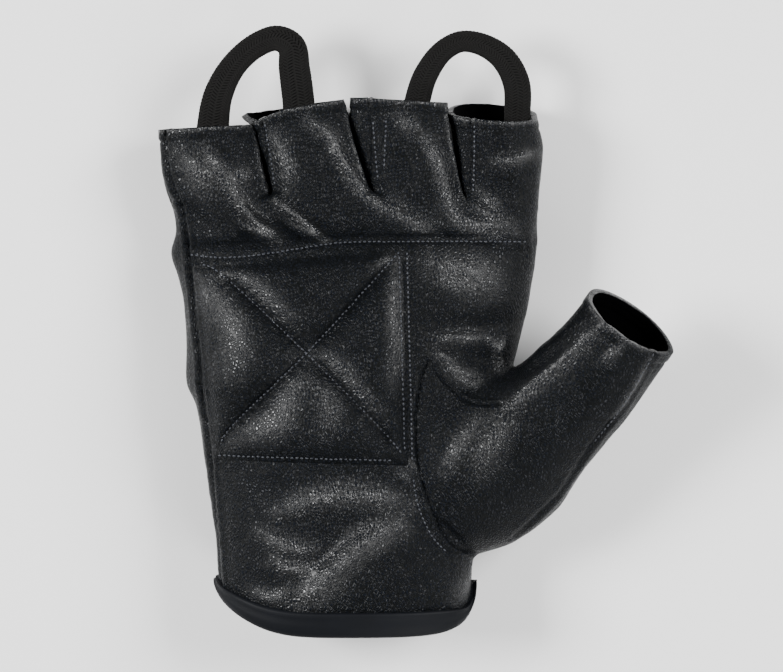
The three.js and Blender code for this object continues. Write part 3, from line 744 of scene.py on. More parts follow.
# Folds and dents of the palm side: where they run, how wide they are and how high. Below zero is a dent.
FOLDS = [
    # path, width, height
    ([(-39.4, 135.4), (-34.3, 127.8), (-31.0, 121.9)], 1.2, 1.5),
    ([(-32.4, 124.4), (-29.0, 118.8), (-25.6, 115.4), (-19.4, 110.8)], 1.7, 1.9),
    ([(-35.8, 121.6), (-31.0, 115.6), (-26.0, 111.6)], 1.9, -1.1),
    ([(-30.0, 121.8), (-25.2, 117.4), (-21.4, 114.6)], 1.7, -0.9),
    ([(-31.6, 130.8), (-28.0, 126.2)], 1.7, 0.8),
    ([(-46.6, 134.6), (-42.6, 130.6), (-39.0, 124.0)], 2.9, 1.0),
    ([(-49.0, 121.5), (-43.5, 117.5), (-38.5, 112.6)], 2.2, -1.3),
    ([(-20.6, 121.8), (-17.6, 119.4), (-12.4, 115.2), (-6.2, 110.2)], 1.1, 1.5),
    ([(-21.6, 118.4), (-15.6, 113.8), (-11.0, 110.8)], 1.6, -1.3),
    ([(-16.0, 124.5), (-10.0, 118.5), (-4.0, 113.0)], 2.2, -0.6),
    ([(-22.4, 140.8), (-19.4, 136.6), (-17.6, 130.0), (-17.8, 124.0)], 2.0, 1.0),
    ([(-11.4, 143.6), (-5.2, 139.2), (-2.6, 133.6), (0.8, 128.2), (3.8, 124.5), (11.8, 117.9)], 1.5, 1.6),
    ([(-10.5, 138.0), (-6.5, 130.5), (-2.0, 124.0)], 2.6, -0.9),
    ([(13.8, 144.8), (19.6, 140.2)], 1.8, 0.9),
    ([(21.4, 138.4), (25.0, 131.6), (27.2, 124.6), (29.2, 118.6)], 1.6, 1.4),
    ([(15.6, 134.0), (18.4, 124.0)], 2.6, -0.8),
    ([(12.0, 120.0), (17.5, 115.5), (24.0, 113.0)], 1.8, 0.9),
    ([(28.2, 119.0), (34.0, 115.4), (45.0, 113.6)], 2.2, 1.4),
    ([(25.4, 115.2), (30.4, 112.4)], 1.8, -0.8),
    ([(36.5, 122.5), (42.0, 118.5)], 1.8, 0.9),
    ([(41.0, 132.0), (46.0, 132.8), (51.5, 134.4)], 1.4, 1.3),
    ([(40.0, 128.5), (47.0, 123.0)], 2.4, -0.8),
    ([(20.5, 86.8), (31.0, 85.6), (42.0, 86.8), (53.0, 90.2)], 3.4, -1.5),
    ([(24.4, 104.5), (30.0, 102.5), (38.0, 99.0)], 3.8, 2.1),
    ([(25.0, 82.6), (30.0, 83.2), (38.0, 83.0)], 1.4, 1.2),
    ([(23.2, 78.8), (26.0, 77.8), (29.4, 76.0)], 1.1, 1.2),
    ([(30.5, 79.2), (37.5, 77.0), (44.5, 77.4)], 3.0, -1.3),
    ([(27.5, 74.6), (31.5, 73.2), (36.2, 71.0)], 1.3, 1.7),
    ([(29.5, 71.8), (34.8, 69.6)], 0.9, 1.1),
    ([(25.5, 81.0), (29.5, 79.4)], 1.2, -0.7),
    ([(39.8, 82.6), (41.6, 78.6), (42.8, 73.6)], 0.8, 1.3),
    ([(43.2, 82.6), (41.6, 78.6)], 0.8, 1.1),
    ([(69.4, 86.0), (65.0, 82.6), (58.4, 76.3), (50.4, 70.0), (44.6, 64.8)], 1.9, 1.7),
    ([(61.4, 83.8), (53.4, 76.4), (46.4, 71.6)], 2.2, -1.0),
    ([(69.4, 75.8), (75.6, 81.4)], 1.3, 0.9),
    ([(83.4, 77.6), (77.9, 68.6), (73.4, 60.9)], 0.8, 1.0),
    ([(35.6, 61.6), (31.6, 55.0), (26.6, 45.6)], 1.9, 0.9),
    ([(44.4, 64.0), (40.6, 56.4), (36.0, 45.0)], 3.0, 0.9),
    ([(39.6, 62.4), (35.5, 54.0)], 1.6, -0.9),
    ([(75.8, 82.4), (69.2, 75.4)], 1.3, -0.5),
    ([(-19.0, 34.8), (-8.0, 38.4), (4.0, 39.4), (16.4, 36.2)], 2.6, 1.2),
    ([(-22.5, 29.6), (-8.0, 32.4), (6.0, 32.2)], 2.0, -0.6),
    ([(13.4, 30.4), (4.0, 26.0), (-3.4, 19.2), (-13.4, 7.6)], 2.9, 2.5),
    ([(12.4, 23.0), (2.8, 16.6), (-2.4, 9.4)], 3.0, -1.0),
    ([(-1.0, 27.8), (-8.6, 20.6), (-14.4, 15.8)], 2.2, -1.3),
    ([(-23.6, 28.6), (-15.2, 24.4), (-9.6, 24.6)], 2.0, 1.2),
    ([(-20.6, 20.6), (-13.8, 18.2), (-6.8, 19.4)], 1.7, 1.2),
    ([(-27.2, 12.4), (-21.0, 10.4), (-15.6, 12.8)], 1.8, 1.0),
    ([(30.4, 9.4), (34.0, 16.4)], 2.0, 0.7),
    ([(13.6, 50.6), (19.4, 45.6)], 1.0, 0.6),
    ([(12.4, 46.8), (17.6, 43.2)], 1.0, 0.5),
]


def close_to(plan, line, reach):
    """The numbers of the places within reach of the box round a line."""
    low, high = line.min(axis=0) - reach, line.max(axis=0) + reach
    return np.flatnonzero(((plan > low) & (plan < high)).all(axis=1))


def fold_relief(plan, folds=FOLDS, reach=1.0):
    """Height of the folds, each drawn out sideways by the reach."""
    height = np.zeros(len(plan))
    for path, width, rise in folds:
        width = width * reach
        line = smooth_line(path, 5)
        close = close_to(plan, line, 4 * width)
        apart, along, _ = to_line(plan[close], line)
        length = np.linalg.norm(np.diff(line, axis=0), axis=1).sum()
        fade = np.sin(np.pi * np.clip(along / length, 0.04, 0.96)) ** 0.6
        height[close] += rise * fade * bell(apart, width)
    return height


# Rows of stitches on the palm side, seen from the palm
FINGER_ROW = [(-44.5, 106.2), (-36.0, 105.3), (-25.8, 105.9), (-14.0, 107.7), (-2.9, 109.3), (14.9, 109.7),
              (51.5, 109.8)]
THUMB_EDGE_ROW = [(84.8, 80.0), (80.2, 71.6), (75.0, 62.9), (67.4, 53.2), (57.6, 38.4), (46.0, 27.4)]
THUMB_ROW = [(17.9, 44.0), (18.9, 38.0), (21.0, 32.0), (24.2, 26.4), (28.4, 22.4)]

# Relief of the seams: how deep and wide the valley is, how high the welts on its left and right stand and how
# far from it, and how much the leather puckers beside it. Left is the left hand going along the line.
SEAMS = [
    # line, depth, width, left welt, right welt, welt place, pucker
    (SIDE_SEAM, 0.6, 0.5, 0.45, 0.35, 1.2, 0.22),
    (THUMB_SEAM, 0.35, 0.5, 0.1, 0.6, 0.8, 0.12),
    (FINGER_ROW, 0.2, 0.6, 0.1, 0.1, 1.1, 0.26),
    (THUMB_EDGE_ROW, 0.45, 0.6, 0.35, 0.1, 1.3, 0.12),
    (THUMB_ROW, 0.3, 0.5, 0.1, 0.1, 1.2, 0.16),
]
LAP = {"step": 0.25, "run": 4.0}  # the palm's edge lies over the finger panel
# The turned edges at the mouths. Rubbed: how bright, and between which x this fades on the thumb's rim. Wall:
# how much thicker the leather is there.
HEM = {"height": 3.2, "swell": 0.25, "groove": 0.3, "rubbed": 0.9, "rubbed_to": (84, 78), "wall": 1.4}
SLIT_EDGE = {"height": 0.3, "rubbed": 0.8}  # the folded edge left of a slit
CREST_REACH = 1.25  # how much wider than the fold itself its crest is rubbed
CUT_ANGLE = 1.0  # edges that turn further than this are cut, not folded


def pucker(along):
    """Uneven ripple along a seam, from -1 to 1."""
    return np.sin(1.75 * along + 1.7 * np.sin(0.37 * along)) * (0.6 + 0.4 * np.sin(0.23 * along + 1))


def seam_relief(plan):
    height = np.zeros(len(plan))
    for points, depth, width, left_welt, right_welt, place, ripple in SEAMS:
        line = smooth_line(points, 6)
        close = close_to(plan, line, 8)
        apart, along, side = to_line(plan[close], line)
        welt = np.where(side > 0, left_welt, right_welt)
        here = -depth * bell(apart, width) + welt * bell(apart - place, 0.6 * place)
        here += ripple * pucker(along + 9 * side) * np.exp(-apart / 2.2)
        height[close] += here
    return height


def lap_relief(points):
    """The palm's edge over the finger panel, as a low step."""
    below = -past_finger_seam(points)
    over = LAP["step"] * np.exp(-np.maximum(below, 0) / LAP["run"]) * soft_step(-0.25, 0.25, below)
    return over * (np.abs(below) < 16)


def hem_relief(points):
    """The turned edges at the mouths: a slight swell, closed by a groove."""
    within = within_mouths(points)
    swell = HEM["swell"] * soft_step(HEM["height"] + 0.4, HEM["height"] - 0.6, within)
    groove = -HEM["groove"] * bell(within - HEM["height"], 0.5)
    return swell + groove


def slit_relief(points):
    """The ridge where each finger's panel turns in to its side wall, with the seam beside it."""
    height = np.zeros(len(points))
    for slit in SLITS:
        right, width, above = slit_room(slit, points)
        past = right - width
        here = -0.2 * bell(past, 0.5) + 0.35 * bell(past - 1.1, 0.6)
        here += 0.15 * pucker(points[:, 1] + 40) * np.exp(-np.abs(past) / 2.0)
        height += here * soft_step(-1.5, 1.0, above) * (np.abs(past) < 6)
    return height


def slit_edges(points):
    """How near places are to the folded edges left of the slits, from 0 to 1."""
    near = np.zeros(len(points))
    for slit in SLITS:
        right, _, above = slit_room(slit, points)
        near += bell(right + 0.7, 0.5) * soft_step(0.0, 2.0, above)
    return near


def uneven_relief(points):
    """Soft unevenness of well-used leather, in large and small swells."""
    height = np.empty(len(points))
    for i, (x, y, z) in enumerate(points):
        large = noise.noise((x / 17, y / 17, z / 17))
        small = noise.noise((x / 6.5 + 31, y / 6.5, z / 6.5))
        fine = noise.noise((x / 2.6, y / 2.6 + 57, z / 2.6))
        height[i] = 0.38 * large + 0.20 * small + 0.06 * fine
    return height


def rub(piece, amount):
    """Notes for the finish how far each place is rubbed bright, from 0 to 1."""
    rubbed = piece.data.attributes.new("rubbed", "FLOAT", "POINT")
    rubbed.data.foreach_set("value", np.clip(amount, 0, 1).astype(np.float32))


def shape_leather(skin):
    """Gives the skin its folds, seams and hems."""
    points = points_of(skin)
    plan = points[:, :2]
    normals = normals_of(skin)
    front = soft_step(-0.1, 0.45, normals[:, 2])  # 1 on the palm side
    calm = 0.25 + 0.75 * soft_step(3, 12, -past_cuff(points))  # the binding holds the cuff flat
    height = (fold_relief(plan) * calm + seam_relief(plan) + lap_relief(points)) * front
    height += slit_relief(points) * soft_step(0.2, 0.6, normals[:, 2]) + hem_relief(points)
    height += uneven_relief(points) * calm + SLIT_EDGE["height"] * slit_edges(points) * front
    crests = fold_relief(plan, [fold for fold in FOLDS if fold[2] > 0], CREST_REACH)
    rims = soft_step(1.2, 0.4, within_mouths(points)) * soft_step(*HEM["rubbed_to"], points[:, 0])
    rub(skin, (crests + SLIT_EDGE["rubbed"] * slit_edges(points)) * front + HEM["rubbed"] * rims)
    points += normals * height[:, None]
    points[:, 2] = np.maximum(points[:, 2], FLOOR_GAP)
    move_points(skin, points)


# Finishing the panels

def cut_out(skin, labels, number):
    """One panel of the skin as a piece of its own."""
    piece = skin.copy()
    piece.data = skin.data.copy()
    piece.name = "leather_" + PANELS[number]
    bpy.context.scene.collection.objects.link(piece)
    without_faces(piece, labels != number)
    return piece


def show_cuts(piece, where):
    """Makes the cut edges of the leather crisp in the light."""
    with opened(piece) as bm:
        for edge in bm.edges:
            edge.smooth = not (edge.calc_face_angle(0) > CUT_ANGLE and where[edge.verts[0].index])


def give_thickness(piece):
    """Turns a panel into leather with a wall, thicker in its turned hems, with its cut edges crisp."""
    within = within_mouths(points_of(piece))
    weights = 0.7 + 0.3 * soft_step(HEM["height"] + 0.5, HEM["height"] - 1.0, within)
    group = piece.vertex_groups.new(name="wall")
    for i, weight in enumerate(weights):
        group.add([i], float(weight), "REPLACE")
    finish_with(piece, "SOLIDIFY", thickness=WALL * HEM["wall"] * MM, offset=-1, vertex_group="wall",
                use_rim=True, material_offset=1, material_offset_rim=0)
    show_cuts(piece, within_mouths(points_of(piece)) > 1.5)


def dress(piece, slot, *nodes):
    """Rides a finished piece on the glove, shaded smooth, in place of the solids that it stands for. The slot
    is not used.
    """
    for face in piece.data.polygons:
        face.use_smooth = True
    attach(piece, "root")
    if nodes:
        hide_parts(*nodes)


# Surfaces to lay things on

class Surface:
    """The finished palm side, to find the height and slope at a place in plan."""

    def __init__(self, pieces):
        corners, faces = [], []
        for piece in pieces:
            start = len(corners)
            corners += [tuple(p) for p in points_of(piece)]
            faces += [[start + i for i in face.vertices] for face in piece.data.polygons]
        self.tree = BVHTree.FromPolygons(corners, faces)

    def at(self, x, y, top=70.0):
        """Point and slope of the surface seen from above, or None where there is none."""
        place, slope, _, _ = self.tree.ray_cast(Vector((x, y, top)), Vector((0, 0, -1)))
        return (np.array(place), np.array(slope)) if place is not None else None


# Quilted patch

# Corners of the patch: bottom left, bottom right, top right and top left
PAD = np.array([(-38.2, 49.0), (16.6, 47.6), (14.9, 107.9), (-43.8, 103.0)])
PAD_CROSS = [[(-41.0, 103.5), (-37.6, 102.2), (-11.6, 78.6), (13.8, 52.2), (15.4, 49.5)],
             [(14.2, 107.0), (13.0, 105.6), (-11.6, 78.6), (-34.2, 56.2), (-36.0, 52.5)]]
PAD_STEP = 0.45
PAD_EDGE = {"sides": 0.5, "top": 0.15}  # thickness of its sewn edge
PAD_PUFF = 3.3
PAD_RUBBED = [
    # path, width, how bright it is rubbed
    ([(-41.7, 99.7), (-35.3, 91.8), (-31.0, 84.3), (-33.0, 74.0)], 4.2, 0.75),
    ([(-36.7, 101.9), (-26.9, 97.4), (-20.4, 90.4), (-15.7, 84.3)], 2.8, 0.7),
    ([(13.2, 107.0), (7.8, 101.9)], 1.8, 0.7),
    ([(14.0, 104.0), (13.2, 89.3), (13.8, 80.0), (12.4, 69.5)], 2.3, 0.9),
    ([(-9.2, 78.7), (-2.8, 75.0), (2.0, 68.6), (9.0, 60.0)], 2.6, 0.8),
    ([(-13.4, 75.6), (-17.1, 65.8), (-19.0, 60.4), (-30.1, 56.0)], 4.0, 0.85),
    ([(-9.2, 70.4), (-5.0, 63.8), (-6.4, 57.0)], 3.4, 0.7),
]


def pad_height(plan, border):
    """Height of the patch over the palm: puffed between its edge and its crossed stitching."""
    from_top, _, _ = to_line(plan, PAD[[3, 2]])
    near_top = soft_step(4.0, 1.0, from_top)
    thick = PAD_EDGE["sides"] + (PAD_EDGE["top"] - PAD_EDGE["sides"]) * near_top
    height = thick * np.sqrt(1 - (1 - np.clip(border / (0.9 + 2.6 * near_top), 0, 1)) ** 2)
    edge = 1 - np.exp(-np.maximum(border - 0.8, 0) / 3.6)
    puff = PAD_PUFF * edge
    for cross in PAD_CROSS:
        apart, along, side = to_line(plan, smooth_line(cross, 3))
        fade = soft_step(0.5, 6.0, border)
        puff *= 1 - fade * np.exp(-(apart / 3.4) ** 1.15)
        height -= fade * 0.55 * bell(apart, 0.55)
        height += fade * 0.22 * pucker(1.2 * along + 11 * side) * bell(apart - 1.4, 1.3)
    height += 0.14 * pucker(plan[:, 0] + plan[:, 1]) * bell(border - 1.6, 1.3)
    return height + puff


def quilted_patch(surface):
    """The quilted patch: a grid laid on the palm and raised into four padded cells."""
    across, along = (int(np.linalg.norm(PAD[k] - PAD[0]) / PAD_STEP) for k in (1, 3))
    bpy.ops.object.select_all(action="DESELECT")
    bpy.ops.mesh.primitive_grid_add(x_subdivisions=across, y_subdivisions=along, size=2)
    pad = bpy.context.object
    pad.name = "quilted_palm_patch"
    u, v = (read(pad.data.vertices, "co")[:, :2].T.astype(float) + 1) / 2
    u, v = u[:, None], v[:, None]
    plan = (1 - u) * (1 - v) * PAD[0] + u * (1 - v) * PAD[1] + u * v * PAD[2] + (1 - u) * v * PAD[3]
    border = np.maximum(inside(plan, PAD), 0)
    base = np.array([surface.at(x, y)[0][2] for x, y in plan])
    swell = np.array([noise.noise((x / 7, y / 7, 5.0)) for x, y in plan])
    height = pad_height(plan, border) + 0.25 * swell * soft_step(0.5, 5, border)
    move_points(pad, np.column_stack([plan, base + height + 0.02]))
    rub(pad, fold_relief(plan, PAD_RUBBED))
    turn_outwards(pad)
    if normals_of(pad)[:, 2].mean() < 0:
        pad.data.flip_normals()
    finish_with(pad, "SOLIDIFY", thickness=0.5 * MM, offset=-1)
    show_cuts(pad, np.ones(len(pad.data.vertices), bool))
    return pad


# Stitches

STITCH = {"pitch": 1.35, "long": 0.9, "wide": 0.6, "high": 0.5, "lift": (-0.12, 0.2)}


def stitch_form():
    """One stitch: a small ball, drawn out to a bead of thread."""
    bpy.ops.object.select_all(action="DESELECT")
    bpy.ops.mesh.primitive_uv_sphere_add(segments=6, ring_count=5, radius=0.5)
    bead = bpy.context.object
    co = np.array([v.co for v in bead.data.vertices])
    faces = [list(face.vertices) for face in bead.data.polygons]
    bpy.data.objects.remove(bead)
    return co[:, [2, 0, 1]], faces


def even_places(line, pitch):
    """Places a pitch apart along a line, the first half a pitch from its start."""
    count = int((run_along(line)[-1] - 0.5 * pitch) / pitch)
    return places_on(line, (np.arange(count) + 0.5) * pitch)


def sewn(name, rows, surface, chance):
    """Rows of stitches laid on the leather, as one piece."""
    form, faces = stitch_form()
    corners, joined = [], []
    for row in rows:
        line = smooth_line(row, 8)
        for place in even_places(line, STITCH["pitch"]):
            i = min(max(np.argmin(np.linalg.norm(line - place, axis=1)), 1), len(line) - 2)
            run = line[i + 1] - line[i - 1]
            run /= np.linalg.norm(run)
            ends = [surface.at(*(place + s * STITCH["long"] / 2 * run)) for s in (-1, 1)]
            middle = surface.at(*place)
            if middle is None or None in ends:
                continue
            along = ends[1][0] - ends[0][0]
            length = np.linalg.norm(along)
            if length > 2.5 * STITCH["long"]:
                continue
            along /= length
            up = middle[1] - along * (middle[1] @ along)
            up /= np.linalg.norm(up)
            turn = chance.uniform(-0.12, 0.12)
            sideways = np.cross(up, along)
            along = along * math.cos(turn) + sideways * math.sin(turn)
            sideways = np.cross(up, along)
            length = min(length, STITCH["long"] * 1.2) * chance.uniform(0.9, 1.05)
            centre = (ends[0][0] + ends[1][0] + 2 * middle[0]) / 4 + up * chance.uniform(*STITCH["lift"])
            start = len(corners)
            turned = form * [length, STITCH["wide"], STITCH["high"]] @ np.array([along, sideways, up])
            corners += [*(turned + centre)]
            joined += [[start + k for k in face] for face in faces]
    return new_piece(name, corners, joined)


# Cuff binding

# Shorter: the share of its overlap that it loses at its left and right ends
BINDING = {"overlap": 5.4, "wall": 1.05, "gap": 0.3, "corners": 24, "steps": 260, "shorter": (0.6, 1.0)}


def smooth_loop(points, count):
    """A closed smooth run through points, as that many places."""
    line = smooth_line(points[-2:] + points + points[:3], 12)[2 * 12:-2 * 12]
    return places_on(line, np.arange(count) / count * run_along(line)[-1])


def cuff_binding():
    """The folded tape round the cuff: a ring whose section is drawn round the leather's edge."""
    b = BINDING
    bpy.ops.object.select_all(action="DESELECT")
    bpy.ops.mesh.primitive_torus_add(major_segments=b["steps"], minor_segments=b["corners"], major_radius=1,
                                     minor_radius=0.1)
    ring = bpy.context.object
    ring.name = "cuff_binding_tape"
    co = read(ring.data.vertices, "co")
    major = step_round(co[:, 1], co[:, 0], b["steps"])
    minor = step_round(co[:, 2], np.hypot(co[:, 0], co[:, 1]) - 1, b["corners"])
    outer, inner = b["gap"] + b["wall"], WALL + b["gap"] + b["wall"]
    profile = smooth_loop([
        (-outer + 0.15, b["overlap"]), (-outer - 0.15, b["overlap"] - 1.2), (-outer + 0.02, 3.4),
        (-outer - 0.22, 1.6), (-outer + 0.1, -0.5), (-outer + 0.7, -1.35), (0.6, -1.6),
        (inner - 0.7, -1.35), (inner, -0.4), (inner + 0.1, 2.0), (inner, b["overlap"]),
        (WALL + 0.3, b["overlap"] + 0.15), (-b["gap"], b["overlap"] + 0.1)], b["corners"])
    edge_y = hand_edges(0)["y"]
    side = np.cos(2 * np.pi * np.arange(b["steps"]) / b["steps"])[:, None]
    rings = []
    for inset, up in profile:
        share = hand_share(edge_y + max(0.0, up))
        full, flat = (hand_section(share, edge_y + up, i, b["steps"])
                      for i in (inset, max(inset, -b["gap"] - 0.3)))
        thin = side ** 8 * soft_step(0.5, 4.0, up)
        drawn_in = np.where(side < 0, b["shorter"][1], b["shorter"][0]) * max(up, 0)
        rings.append(full + (flat - full) * thin - side ** 8 * drawn_in * np.array([0, 1, 0]))
    move_points(ring, np.array(rings)[minor, major])
    turn_outwards(ring)
    return ring


# Pull loops

LOOPS = {
    "pull_loop_outer": {
        "route": [(-39.0, 132, 18.9), (-38.2, 141.7, 19.1), (-36.7, 150.9, 18.7), (-32.3, 159.3, 18.3),
                  (-25.9, 165.0, 18.2), (-20.2, 166.9, 18.3), (-16.2, 164.6, 18.6), (-15.3, 158.2, 19.0),
                  (-14.2, 149.5, 19.5), (-13.4, 139, 19.6)],
        "width": (8.4, 8.4, 7.6, 6.6, 6.4, 6.6, 7.4, 8.2, 8.4, 8.2)},
    "pull_loop_inner": {
        "route": [(17.6, 139, 18.2), (19.2, 149.5, 18.4), (21.6, 156.8, 18.5), (26.2, 163.2, 18.4),
                  (31.5, 166.0, 18.1), (37.8, 165.0, 17.6), (43.6, 161.0, 16.8), (47.0, 154.4, 15.8),
                  (47.3, 146, 14.9), (46.4, 134, 14.6)],
        "width": (6.6, 6.6, 6.2, 5.6, 5.4, 5.8, 6.6, 7.0, 6.8, 6.6)},
}
BRAID = {"strands": 16, "thickness": 2.6, "turns": 5.5, "wide": 0.72, "high": 0.5, "weave": 0.16,
         "steps": 400}
STRAND_FORM = np.array([(-0.5, 0.0), (-0.28, 0.42), (0.28, 0.42), (0.5, 0.0), (0, -0.3)])  # across and out


def strand_line(k, way, turn, path, wide, across, thin):
    """One strand of the braid: its middle line, and the way out of the cord beside it. It passes over two and
    under two of the strands that wind the other way, which gives the herringbone."""
    n = BRAID["strands"]
    angle = way * turn + 2 * np.pi * (k + 0.5 * (way < 0)) / n
    weave = np.sin(way * n / 2 * turn + np.pi * k + (0 if way > 0 else 1.5 * np.pi))
    c, s = np.cos(angle), np.sin(angle)
    x = np.sign(c) * np.abs(c) ** 0.8 / 2
    z = np.sign(s) * np.abs(s) ** 0.7 / 2
    out = across * x[:, None] * 0.6 + thin * z[:, None] * 2
    out /= np.linalg.norm(out, axis=1)[:, None]
    middle = path + across * (x * wide)[:, None] + thin * (z * BRAID["thickness"])[:, None]
    return middle + out * (BRAID["weave"] * weave)[:, None], out


def braided_loop(name):
    """A flat hollow braid along its route: two sets of strands that wind opposite ways."""
    size = BRAID["steps"] + 1
    rows = np.column_stack([np.array(LOOPS[name]["route"], float), LOOPS[name]["width"]])
    run = np.array([along_rows(rows, s) for s in np.linspace(0, 1, size)])
    path, wide = run[:, :3], run[:, 3]
    ahead = np.gradient(path, axis=0)
    ahead /= np.linalg.norm(ahead, axis=1)[:, None]
    thin = np.array([0, 0, 1.0]) - ahead * ahead[:, 2:]
    thin /= np.linalg.norm(thin, axis=1)[:, None]
    across = np.cross(ahead, thin)
    length = run_along(path)
    turn = 2 * np.pi * BRAID["turns"] * length / length[-1]
    corners, faces = [], []
    sides = len(STRAND_FORM)
    for way in (1, -1):
        for k in range(BRAID["strands"]):
            middle, out = strand_line(k, way, turn, path, wide, across, thin)
            lead = np.gradient(middle, axis=0)
            sideways = np.cross(lead, out)
            sideways /= np.linalg.norm(sideways, axis=1)[:, None]
            start = len(corners)
            for a, b in STRAND_FORM * [BRAID["wide"], BRAID["high"]]:
                corners += [*(middle + sideways * a + out * b)]
            for a in range(sides):
                here, there = start + a * size, start + (a + 1) % sides * size
                faces += [(here + i, here + i + 1, there + i + 1, there + i) for i in range(size - 1)]
            faces.append([start + a * size for a in range(sides)])
            faces.append([start + a * size + size - 1 for a in reversed(range(sides))])
    loop = new_piece(name + "_braid", corners, faces)
    turn_outwards(loop)
    return loop


# Materials

def colour(code):
    """An sRGB hex colour as linear values."""
    parts = [int(code[i:i + 2], 16) / 255 for i in (1, 3, 5)]
    return (*[p / 12.92 if p <= 0.04045 else ((p + 0.055) / 1.055) ** 2.4 for p in parts], 1.0)


def add_node(tree, kind, links=(), **settings):
    """Adds one node with its settings. A link is (input, node it comes from, output). An underscore in an
    input's name stands for a space."""
    node = tree.nodes.new("ShaderNode" + kind)
    for name, value in settings.items():
        socket = name.replace("_", " ")
        if socket in node.inputs:
            node.inputs[socket].default_value = value
        else:
            setattr(node, name, value)
    for name, source, output in links:
        tree.links.new(source.outputs[output], node.inputs[name])
    return node


def new_material(name, **settings):
    """A material with its shader's fixed values."""
    material = bpy.data.materials.new(name)
    material.use_nodes = True
    tree = material.node_tree
    shader = tree.nodes["Principled BSDF"]
    for socket, value in settings.items():
        shader.inputs[socket.replace("_", " ")].default_value = value
    return material, tree, shader


def per_mm(size):
    """Pattern scale for features of this size in millimetres, on Object coordinates in metres."""
    return 1 / (size * MM)


def mottled(tree, place, size, dark, light, detail=2.0):
    """Two tones of one colour, in soft patches of a size in millimetres."""
    patches = add_node(tree, "TexNoise", [("Vector", place, "Object")], Scale=per_mm(size), Detail=detail)
    return add_node(tree, "Mix", [("Factor", patches, "Fac")], data_type="RGBA", A=colour(dark),
                    B=colour(light))


def pebbled_leather():
    """Chrome-tanned cowhide with a pebbled grain, dyed through and lightly waxed: near black, with the tops
    of the pebbles catching the light as small bright specks, and dark cracks between them, partly from the
    bump and partly painted shade in the base colour. Where it is rubbed, on the crests of folds, the wax is
    burnished and the specks are brighter."""
    material, tree, shader = new_material("pebbled_cowhide")
    place = add_node(tree, "TexCoord")
    drift = add_node(tree, "TexNoise", [("Vector", place, "Object")], Scale=per_mm(9), Detail=2.0)
    shift = add_node(tree, "VectorMath", [(0, drift, "Color")], operation="SCALE", Scale=3.0 * MM)
    bent = add_node(tree, "VectorMath", [(0, place, "Object"), (1, shift, "Vector")], operation="ADD")
    drawn = add_node(tree, "VectorMath", [(0, bent, "Vector")], operation="MULTIPLY")
    drawn.inputs[1].default_value = (1.15, 0.85, 1.0)
    cells = add_node(tree, "TexVoronoi", [("Vector", drawn, "Vector")], feature="DISTANCE_TO_EDGE",
                     Scale=per_mm(0.86), Randomness=1.0)
    dome = add_node(tree, "MapRange", [("Value", cells, "Distance")],
                    interpolation_type="SMOOTHSTEP", From_Min=0.0, From_Max=0.34)
    pores = add_node(tree, "TexNoise", [("Vector", place, "Object")], Scale=per_mm(0.5), Detail=2.0)
    grain = add_node(tree, "Math", [(0, pores, "Fac"), (2, dome, "Result")], operation="MULTIPLY_ADD")
    grain.inputs[1].default_value = 0.25
    bump = add_node(tree, "Bump", [("Height", grain, "Value")], Strength=1.0, Distance=0.13 * MM)
    tree.links.new(bump.outputs["Normal"], shader.inputs["Normal"])
    tone = mottled(tree, place, 22, "#0b0d11", "#14171d", detail=3.0)
    # Painted shade: the base colour goes darker towards the cracks between the pebbles, where shade falls.
    crack_shade = add_node(tree, "Mix", [("Factor", dome, "Result")], data_type="RGBA", A=colour("#050606"))
    tree.links.new(tone.outputs["Result"], crack_shade.inputs["B"])
    tree.links.new(crack_shade.outputs["Result"], shader.inputs["Base Color"])
    gloss = add_node(tree, "MapRange", [("Value", dome, "Result")], To_Min=0.5, To_Max=0.25)
    tree.links.new(gloss.outputs["Result"], shader.inputs["Roughness"])
    rubbed = add_node(tree, "Attribute", attribute_name="rubbed")
    wax = add_node(tree, "MapRange", [("Value", rubbed, "Fac")], To_Min=0.08, To_Max=0.5)
    tree.links.new(wax.outputs["Result"], shader.inputs["Specular IOR Level"])
    return material


def mottled_material(name, size, dark, light, detail=2.0, grain=None, **settings):
    """A material of two tones in patches of a size. Grain gives it a low bump: its size and its height."""
    material, tree, shader = new_material(name, **settings)
    place = add_node(tree, "TexCoord")
    tone = mottled(tree, place, size, dark, light, detail)
    tree.links.new(tone.outputs["Result"], shader.inputs["Base Color"])
    if grain:
        pits = add_node(tree, "TexNoise", [("Vector", place, "Object")], Scale=per_mm(grain[0]), Detail=2.0)
        bump = add_node(tree, "Bump", [("Height", pits, "Fac")], Strength=1.0, Distance=grain[1] * MM)
        tree.links.new(bump.outputs["Normal"], shader.inputs["Normal"])
    return material


# Assembly

leather = pebbled_leather()
# Raw flesh side of the same hide, dyed black: matte, with a short nap that swallows the light, drawn coarser
# than a real one so that it shows
flesh = mottled_material("suede_flesh_side", 0.8, "#020202", "#050506", detail=3.0,
                         Roughness=0.95, Specular_IOR_Level=0.02)
# Smooth split-leather tape, folded and pressed: even, matte, with the faintest grain
tape_leather = mottled_material("folded_leather_tape", 9, "#0a0b0e", "#0f1115", grain=(0.6, 0.04),
                                Roughness=0.55, Specular_IOR_Level=0.1)
# Bonded nylon sewing thread: black, with the dull gleam of its wax and a twist drawn coarser than a real one
seam_thread = mottled_material("bonded_nylon_thread", 0.3, "#1a1b20", "#3a3d44",
                               Roughness=0.35, Specular_IOR_Level=0.4)
# Spun polyester yarn, braided: warm black and matte, with a soft fuzz, drawn coarser than a real one
yarn = mottled_material("braided_polyester", 0.35, "#090909", "#161514", detail=3.0,
                        Roughness=0.8, Specular_IOR_Level=0.12)

skin = leather_skin()
score_seams(skin)
without_slivers(skin)
labels = panel_of(face_middles(skin))
shape_leather(skin)
for number, node in enumerate(PANELS):
    panel = cut_out(skin, labels, number)
    panel.data.materials.append(leather)
    panel.data.materials.append(flesh)
    give_thickness(panel)
    dress(panel, "leather", node)
pad = quilted_patch(Surface([skin]))
pad.data.materials.append(leather)
dress(pad, "leather", "palm_pad")
surface = Surface([skin, pad])
bpy.data.objects.remove(skin)

